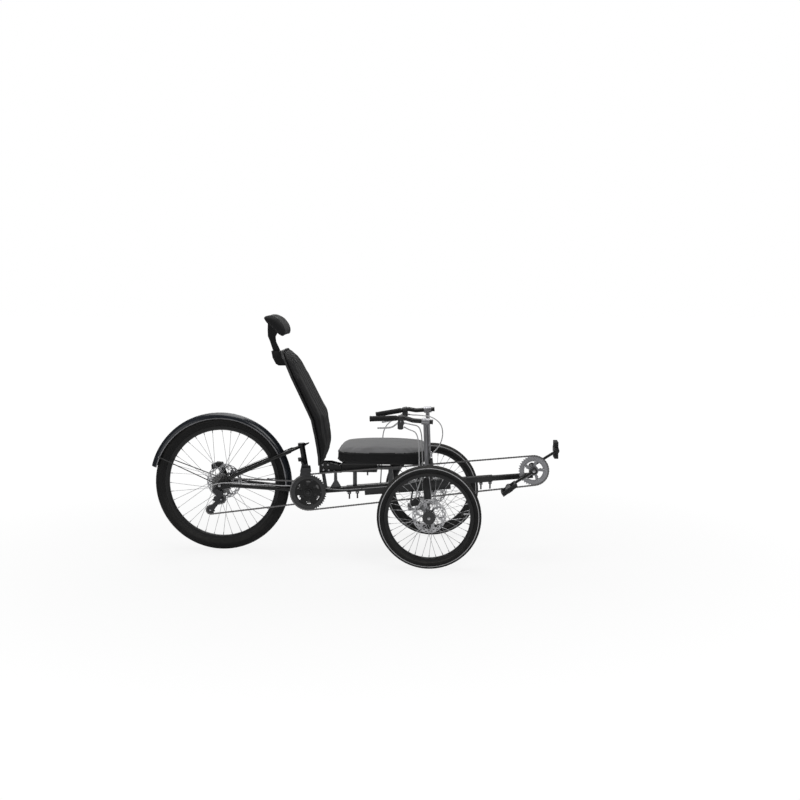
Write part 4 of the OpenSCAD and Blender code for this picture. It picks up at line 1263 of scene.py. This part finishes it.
    def rear(self) -> list[Vector]:
        """Rear chain, cassette and jockey wheels.

        Returns:
            The places of the rear chain's pins.
        """
        middle = pivot("jackshaft_spin")
        pulleys = [(0.0, REAR_AXLE.z * 1000, self.radius(self.teeth[3]), -1),
                   (middle.x, middle.z, self.radius(self.teeth[2]), -1),
                   (*self.lower_jockey, self.jockey_r, -1), (*self.upper_jockey, self.jockey_r, 1)]
        pins = self.chain("rear_chain", self.rear_y, pulleys)
        builder = Builder().use("sprocket_steel")
        z = REAR_AXLE.z * 1000
        for teeth, y in self.cogs:
            phase = self.phase(pins, 0, z, math.pi) if teeth == self.teeth[3] else y
            self.ring(builder, (0, y, z), teeth, phase, 20.5, 1.8)
        builder.lathe((0, 0, z), [(17.1, -60), (21, -60), (21, -30), (17.1, -30)], 36)
        piece = builder.object("cassette_toothed", "sprockets", "sprocket_steel")
        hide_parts("cassette")
        builder = Builder().use("pedal_black")
        for x, jockey_z in (self.upper_jockey, self.lower_jockey):
            outer, inner = [], []
            for k in range(88):
                a = 2 * math.pi * k / 88
                r = self.jockey_r + (-3.7, -3.2, -1.0, 0.4, 1.2, 0.4, -1.0, -3.2)[k % 8]
                outer.append((x + r * math.cos(a), jockey_z + r * math.sin(a)))
                inner.append((x + 4.2 * math.cos(a), jockey_z + 4.2 * math.sin(a)))
            builder.ringed_plate(outer, inner, self.rear_y, 1.9)
            builder.use("bright_steel").bolt((x, self.rear_y - 8.2, jockey_z), (0, -1, 0), 4.5, 2)
            builder.use("pedal_black")
        builder.object("jockey_wheels", "frame", "pedal_black")
        return pins

    def pedals(self) -> None:
        """Grip teeth and end caps on the pedals, and the crank bolts."""
        crank = pivot("crank_spin")
        for side, name in SIDES.items():
            middle = pivot(f"{name}_pedal_spin")
            low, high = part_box(f"pedal_{name}")
            y = (low.y + high.y) * 500
            span = (high.y - low.y) * 500
            tip = math.radians(36.5 if side == RIGHT else 90)
            along, up = Vector((math.cos(tip), 0, math.sin(tip))), Vector((-math.sin(tip), 0, math.cos(tip)))
            builder = Builder().use("pedal_black")
            for end in (-38.0, 38.0):
                for k in range(5):
                    for face in (-1, 1):
                        base = Vector((middle.x, y + (k - 2) * 16, middle.z)) + along * end + up * face * 9.8
                        builder.tube([base, base + up * face * 1.6], [2.4, 1.2], 8)
            builder.use("reflex_band")
            for end in (-41.0, 41.0):
                spot = Vector((middle.x, y, middle.z)) + along * end
                turn = Matrix((up, Vector((0, 1, 0)), along)).transposed()
                builder.box(spot, (12, span, 1.0), turn)
            builder.object(f"pedal_grips_{name}", f"{name}_pedal", "pedal_black")
            builder = Builder().use("bright_steel")
            builder.bolt((crank.x, side * 85, crank.z), (0, side, 0), 7.5, 3)
            builder.object(f"crank_bolt_{name}", "crank_set", "crank_black")

    def build(self) -> None:
        """Makes the drive."""
        self.front()
        self.pedals()


# ---- steering ------------------------------------------------------------------------------
@dataclass
class Steering:
    """Bars, grips, levers and bolts of one side.

    Attributes:
        side: RIGHT or LEFT.
        bar: The bar's bends as [back, up] from its clamp.
        tilt: Slope of the bar in its clamp in degrees.
    """

    side: int
    bar: Sequence[tuple[float, float]] = ((-34, 0), (58, 0), (100, 9), (262, -8))
    tilt: float = 4.2
    bar_z: float = 680.0
    bar_r: float = 11.1
    grip_from: float = 134.0
    clamp_back: float = 116.0

    def name(self) -> str:
        """right or left."""
        return SIDES[self.side]

    def body(self) -> str:
        """The body that steers."""
        return f"{self.name()}_steering"

    def kingpin(self, z: float) -> Vector:
        """Point of the kingpin's axis at height z."""
        joint = JOINTS[f"steer_{self.name()}"]
        foot, axis = pivot(f"steer_{self.name()}"), Vector(joint["axis"])
        return foot + axis * ((z - foot.z) / axis.z)

    def on_bar(self, back: float, up: float) -> Vector:
        """A point given by its distance back and up in the bar's own plane."""
        t = math.radians(self.tilt)
        return self.kingpin(self.bar_z) + Vector((
            -back * math.cos(t) + self.side * up * math.sin(t), 0,
            up * math.cos(t) - self.side * back * math.sin(t)))

    def height(self, back: float) -> float:
        """Height of the bar's rear part."""
        return float(np.interp(back, [p[0] for p in self.bar], [p[1] for p in self.bar]))

    def bar_and_grip(self) -> None:
        """Bent bar with its plugs and a ribbed grip."""
        builder = Builder().use("bar_black")
        bends = ((-34, 0), (0, 0), (52, 0), (64, 1.2), (94, 8.2), (104, 8.7), (180, 0.7), (262, -8))
        line = smooth_line([self.on_bar(*p) for p in bends], 4)
        builder.tube(line, self.bar_r, 24)
        front, ahead = self.on_bar(-34, 0), self.on_bar(-30, 0)
        builder.rod(front, front + (front - ahead) * 0.6, 12.4, 24, 1.2)
        piece = builder.object(f"bar_{self.name()}", self.body(), "bar_black")
        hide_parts(f"handlebar_{self.name()}")
        builder = Builder().use("grip_rubber")
        start, end = self.on_bar(self.grip_from, self.height(self.grip_from)), self.on_bar(262, -8)
        along = unit(end - start)
        length = (end - start).length
        line, radii = [start], [11.6]
        count = 30
        for k in range(count):
            for share, r in ((0.15, 12.6), (0.35, 13.4), (0.65, 13.4), (0.85, 12.6)):
                line.append(start + along * (4 + (length - 8) * (k + share) / count))
                radii.append(r)
        line += [end + along * 1.5, end + along * 3.8]
        radii += [14.6, 12.0]
        builder.tube(line, radii, 24)
        piece = builder.object(f"grip_{self.name()}_ribbed", self.body(), "grip_rubber")
        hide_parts(f"grip_{self.name()}")

    def lever(self) -> None:
        """Clamp, lever body, shifter pod, blade and adjusters."""
        side, builder = self.side, Builder().use("brake_black")
        clamp = self.on_bar(self.clamp_back, self.height(self.clamp_back))
        ahead, behind = self.on_bar(104.5, 8.5), self.on_bar(127.5, self.height(127.5))
        builder.rod(ahead, behind, 15.0, 28, 1.4)
        builder.box(clamp + Vector((0, 0, -22)), (29, 17, 21), None, 4)
        builder.box(clamp + Vector((-2, -side * 4, -42)), (27.5, 25.5, 21.5), None, 7)
        builder.box(clamp + Vector((-2, -side * 4, -54.0)), (18, 17, 3), None, 5)
        builder.use("bright_steel")
        builder.bolt(clamp + Vector((0, side * 9, -16)), (0, side, 0), 3.6, 2.4)
        builder.bolt(clamp + Vector((-2, -side * 16.7, -42)), (0, -side, 0), 3.6, 2.0)
        builder.rod(clamp + Vector((14, 0, -24)), clamp + Vector((20, 0, -24)), 4.2, 16)
        blade = smooth_line([clamp + Vector((-12, 0, -22)), self.on_bar(150, -32), self.on_bar(168, -42),
                             self.on_bar(200, -47), self.on_bar(232, -50)], 5)
        builder.use("reflex_band")
        count = len(blade) - 1
        rings = []
        for i, p in enumerate(blade):
            along = unit(blade[min(i + 1, count)] - blade[max(i - 1, 0)])
            up = along.cross(Vector((0, 1, 0)))
            wide = 5.0 + 2.5 * math.sin(math.pi * i / count)
            rings.append([p + Vector((0, 1, 0)) * wide * math.cos(a) + up * 4.0 * math.sin(a)
                          for a in (2 * math.pi * k / 14 for k in range(14))])
        builder.loft(rings)
        piece = builder.object(f"lever_{self.name()}_shape", self.body(), "brake_black")
        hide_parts(f"lever_{self.name()}")

    def bolts(self) -> None:
        """Bolts of the bar clamp, the calliper and the kingpin."""
        builder = Builder().use("bright_steel")
        builder.bolt(self.on_bar(-10, 13), (0.2, 0, 1), 3.4, 3)
        builder.bolt(self.on_bar(10, 13), (-0.2, 0, 1), 3.4, 3)
        top = self.kingpin(434)
        builder.bolt(top + Vector((-13.5, 0, 0)), (-1, 0, 0), 3.4, 3.5)
        hub = pivot(f"{self.name()}_wheel_spin")
        builder.bolt((hub.x, hub.y + self.side * 35.2, hub.z), (0, self.side, 0), 6.6, 1.8)
        for x, z in ((-66, 56), (-70, 82)):
            builder.bolt((hub.x + x, hub.y - self.side * (34.6), hub.z + z), (0, -self.side, 0), 3.4, 2.4)
        builder.object(f"steering_bolts_{self.name()}", self.body(), "silver_alloy")


BRAKE_ROUTES = {
    LEFT: ((945, 250, 652), (975, 240, 652), (1040, 226, 644), (1085, 224, 610), (1098, 232, 560),
           (1086, 248, 505), (1052, 262, 458), (1012, 276, 432), (990, 300, 400), (981, 320, 366),
           (978, 333, 330)),
    RIGHT: ((950, 246, 664), (985, 232, 652), (1000, 234, 615), (1004, 246, 550), (1006, 262, 480),
            (1004, 282, 425), (992, 304, 384), (982, 322, 356), (978, 333, 330)),
}
SHIFT_ROUTES = {
    LEFT: ((865, 239, 633), (835, 237, 622), (808, 237, 596), (793, 238, 560), (788, 240, 510),
           (786, 230, 464), (788, 190, 440), (790, 120, 418), (790, 62, 362), (790, 25.1, 330)),
    RIGHT: ((940, 240, 640), (972, 228, 622), (986, 232, 580), (990, 246, 510), (990, 254, 455),
            (984, 246, 415), (974, 210, 388), (968, 150, 374), (962, 84, 362), (956, 24.4, 350)),
}


@dataclass
class Cables:
    """Control cables of one side, with a ferrule at each end."""

    steering: Steering
    radius: float = 2.9

    def line(self, route: Sequence[Point], start: Vector) -> list[Vector]:
        """The smooth line of a cable from its start along a route."""
        side = self.steering.side
        return smooth_line([start, *[(x, side * y, z) for x, y, z in route]], 8)

    def tube(self, line: Sequence[Vector]) -> Builder:
        """Housing with a ferrule at each end."""
        builder = Builder().use("cable_housing")
        builder.tube(line, self.radius, 12)
        builder.use("bright_steel")
        for a, b in ((line[0], line[2]), (line[-1], line[-3])):
            builder.rod(a, a + unit(b - a) * 11, self.radius + 0.5, 12)
        return builder

    def build(self) -> None:
        """Makes the brake cable and the shift cable."""
        steering, side = self.steering, self.steering.side
        name = steering.name()
        clamp = steering.on_bar(steering.clamp_back, steering.height(steering.clamp_back))
        brake = self.tube(self.line(BRAKE_ROUTES[side], clamp + Vector((16.2, 0, -24))))
        piece = brake.object(f"brake_cable_{name}_housing", steering.body(), "cable_housing")
        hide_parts(f"brake_cable_{name}")
        ahead = 13.8 if side == RIGHT else -16.2
        line = self.line(SHIFT_ROUTES[side], clamp + Vector((ahead, -side * 12, -44)))
        piece = self.tube(line).object(f"shift_cable_{name}_housing", "", "cable_housing")
        steering.body()
        at(*line[4])
        at(*line[-12])
        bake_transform(piece)
        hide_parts(f"shift_cable_{name}")


# ---- frame and body ------------------------------------------------------------------------
@dataclass
class Mudguard:
    """Rear mudguard with bright edge strips."""

    x: float = -8.0
    z: float = -4.0
    radius: float = 358.0
    half: float = 31.0
    start: float = -1.0
    sweep: float = 166.5
    thick: float = 1.6

    def point(self, angle: float, across: float, lift: float) -> Vector:
        """A point of the guard.

        Args:
            angle: Angle around its middle in degrees.
            across: Angle across its section in degrees, 0 at the crown.
            lift: Distance outside its outer face.

        Returns:
            The point.
        """
        a, b = math.radians(angle), math.radians(across)
        r = self.half + lift
        out = self.radius - self.half + r * math.cos(b)
        height = REAR_AXLE.z * 1000 + self.z
        return Vector((self.x + out * math.cos(a), r * math.sin(b), height + out * math.sin(a)))

    def strip(self, builder: Builder, span: tuple[float, float], lift: float, thick: float,
              steps: int) -> None:
        """A curved strip of the guard between two angles across."""
        rings = []
        across = [span[0] + (span[1] - span[0]) * k / steps for k in range(steps + 1)]
        for i in range(97):
            angle = self.start + self.sweep * i / 96
            rings.append([self.point(angle, b, lift) for b in across]
                         + [self.point(angle, b, lift - thick) for b in reversed(across)])
        builder.loft(rings)

    def build(self) -> None:
        """Makes the guard."""
        builder = Builder().use("mudguard_blue_black")
        self.strip(builder, (-89.5, 89.5), 0.0, self.thick, 20)
        builder.use("silver_alloy")
        for side in (-1, 1):
            self.strip(builder, tuple(sorted((side * 79, side * 89))), 0.35, 0.5, 3)
        piece = builder.object("rear_mudguard_shape", "frame", "mudguard_blue_black")
        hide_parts("rear_mudguard")
        builder = Builder().use("bright_steel")
        for angle in (25.7, 156.0):
            for side in (-1, 1):
                spot = self.point(angle, side * 78, 0.3)
                builder.bolt(spot, (0, side, 0), 3.2, 1.8)
        builder.object("mudguard_screws", "frame", "stay_black")


@dataclass
class Chassis:
    """Bolts, welds and the wiring clips of the frame.

    Attributes:
        clamps: x of the telescoping tube's clamp bolts.
        slope: Upward slope of the main tube in degrees.
    """

    clamps: Sequence[float] = (636, 676, 1290, 1335)
    slope: float = 4.6

    def tube_z(self, x: float) -> float:
        """Height of the main tube's middle at x."""
        middle = pivot("jackshaft_spin")
        return middle.z - 6 + (x - middle.x) * math.tan(math.radians(self.slope))

    def weld(self, builder: Builder, centre: Point, axis: Point, r: float) -> None:
        """A rippled weld bead around a round tube."""
        c, a = Vector(centre), unit(Vector(axis))
        u = unit(a.orthogonal())
        v = a.cross(u)
        ripple = [1.5 + 0.35 * math.sin(k * 2.1) for k in range(48)]
        line = [c + (u * math.cos(t) + v * math.sin(t)) * r
                for t in (2 * math.pi * k / 48 for k in range(48))]
        builder.tube([*line, line[0]], [*ripple, ripple[0]], 6)

    def bolts(self) -> None:
        """Clamp bolts, seat bolts and axle nuts."""
        builder = Builder().use("bright_steel")
        for x in self.clamps:
            z = self.tube_z(x) - 26.6
            for side in (RIGHT, LEFT):
                builder.bolt((x, side * 15, z + 8), (0, side, 0), 4.2, 2.5)
        for x, z in ((508, 436), (534, 437), (512, 410), (538, 410), (566, 405)):
            for side in (RIGHT, LEFT):
                builder.bolt((x, side * 46.2, z), (0, side, 0), 4.4, 3.0)
        for x in (782, 842, 878):
            for side in (RIGHT, LEFT):
                builder.bolt((x, side * 26, 424), (0, 0, 1), 4.5, 3)
        axle = REAR_AXLE.z * 1000
        for side in (RIGHT, LEFT):
            builder.bolt((0, side * 87.5, axle), (0, side, 0), 7.0, 3.0)
        builder.object("frame_bolts", "frame", "silver_alloy")

    def welds(self) -> None:
        """Weld beads where the tubes meet."""
        builder = Builder().use("frame_black")
        crank, middle = pivot("crank_spin"), pivot("jackshaft_spin")
        for side in (RIGHT, LEFT):
            self.weld(builder, (1031, side * 24, self.tube_z(1031) - 4), (0, side, 0.06), 19.2)
            self.weld(builder, (middle.x - 19, side * 31, middle.z + 3), (-1, side * 0.1, 0.08), 10.4)
            for shell in (crank, middle):
                bead = [(20.2, -1.5), (21.4, -1), (21.4, 1), (20.2, 1.5)]
                builder.lathe((shell.x, side * 32, shell.z), bead, 40)
            self.weld(builder, (60, side * 66, REAR_AXLE.z * 1000 - 4), (1, -side * 0.1, -0.08), 10.4)
        top = (398, 0, 520.5)
        self.weld(builder, top, (-0.16, 0, 1), 17.6)
        builder.object("frame_welds", "frame", "frame_black")

    def inner_cables(self) -> None:
        """Control cables clipped along the main tube to the derailleurs and the rear brake."""
        builder = Builder().use("cable_housing")
        left = [(956, -25.2, 350), (900, -26.4, 334), (800, -26.4, 325), (700, -26.4, 316), (600, -24.5, 309),
                (500, -24.5, 318), (440, -38, 334), (330, -62, 333), (160, -80, 344), (40, -88, 350),
                (-30, -88, 340), (-46, -84, 318), (-40, -80, 300)]
        right = [(790, 27, 329), (700, 26.4, 316), (600, 24.5, 309), (500, 24.5, 318), (440, 38, 334),
                 (330, 60, 334), (160, 77, 346), (60, 80, 372), (0, 74, 402), (-20, 62, 430), (-36, 52, 434)]
        for line in (left, right):
            builder.tube(smooth_line(line, 6), 2.2, 10)
        builder.use("frame_black")
        for x in (700, 900):
            for side in (RIGHT, LEFT):
                builder.box((x, side * 25.5, self.tube_z(x) - 1.5), (9, 6, 10), None, 2)
        builder.object("frame_cables", "frame", "cable_housing")

    def build(self) -> None:
        """Makes the frame's small parts."""
        self.bolts()
        self.welds()
        self.inner_cables()


SOFTENED = {
    "main_beam": 1.6, "rear_tube": 1.2, "front_boom": 1.2, "chainstays": 0.8, "seat_tube": 0.8,
    "seat_supports": 1.0, "seat_base": 1.5, "recline_bracket": 1.0, "backrest_shell": 2.5,
    "headrest_arm": 3.0, "rear_derailleur": 0.8, "front_derailleur": 0.8, "rear_calliper": 2.0,
    "cranks": 1.2, "pedal_right": 1.5, "pedal_left": 1.5, "knuckle_right": 1.0, "knuckle_left": 1.0,
    "post_right": 0.8, "post_left": 0.8, "calliper_right": 2.0, "calliper_left": 2.0, "tie_rod": 0.8,
}


def dress_carried_nodes() -> None:
    """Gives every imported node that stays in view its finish, and softens its edges."""
    slots = {s["node"]: s["material_slot"] for s in frame["record"]["subparts"]}
    for name, node in frame["nodes"].items():
        node.data.materials.clear()
        node.data.materials.append(SHELF.get(slots[name]))
        if name in SOFTENED and not node.hide_render:
            weld = node.modifiers.new("weld", "WELD")
            weld.merge_threshold = 0.00002
            bevel = node.modifiers.new("bevel", "BEVEL")
            bevel.width = SOFTENED[name] / 1000
            bevel.segments = 2
            bevel.limit_method = "ANGLE"
            bevel.angle_limit = math.radians(38)
            bevel.use_clamp_overlap = True
            node.modifiers.new("normals", "WEIGHTED_NORMAL").keep_sharp = True


FRONT_STEPS = ((-27, -20, 30), (-20, -15, 24), (-15, 15, 14), (15, 19, 24), (19, 27.5, 17))
REAR_STEPS = ((-63, -26.5, 17), (-26, -20, 30), (-20, 34, 17), (34, 38, 26), (38, 63, 16))


def main() -> None:
    """Builds the studio and every sub-assembly in order."""
    logging.basicConfig(level=logging.INFO, format="%(message)s")
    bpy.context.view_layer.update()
    Studio().build()
    Wheel("rear", "rear_wheel_spin", 336, 50, 286, 266, 30, (-23, 36), 1, 48.5, 88, REAR_STEPS,
          bore=5.05).build()
    for side, name in SIDES.items():
        Wheel(name, f"{name}_wheel_spin", 245, 44, 209, 192, 24, (-17, 17), -side, 25.5, 80, FRONT_STEPS,
              band_r=232).build()
        steering = Steering(side)
        steering.bar_and_grip()
        steering.lever()
        steering.bolts()
        Cables(steering).build()
    Cushion().build()
    Backrest().build()
    Headrest().build()
    Drive().build()
    Mudguard().build()
    Chassis().build()
    dress_carried_nodes()
    log.info("trike finished")


if __name__ == "__main__":
    main()
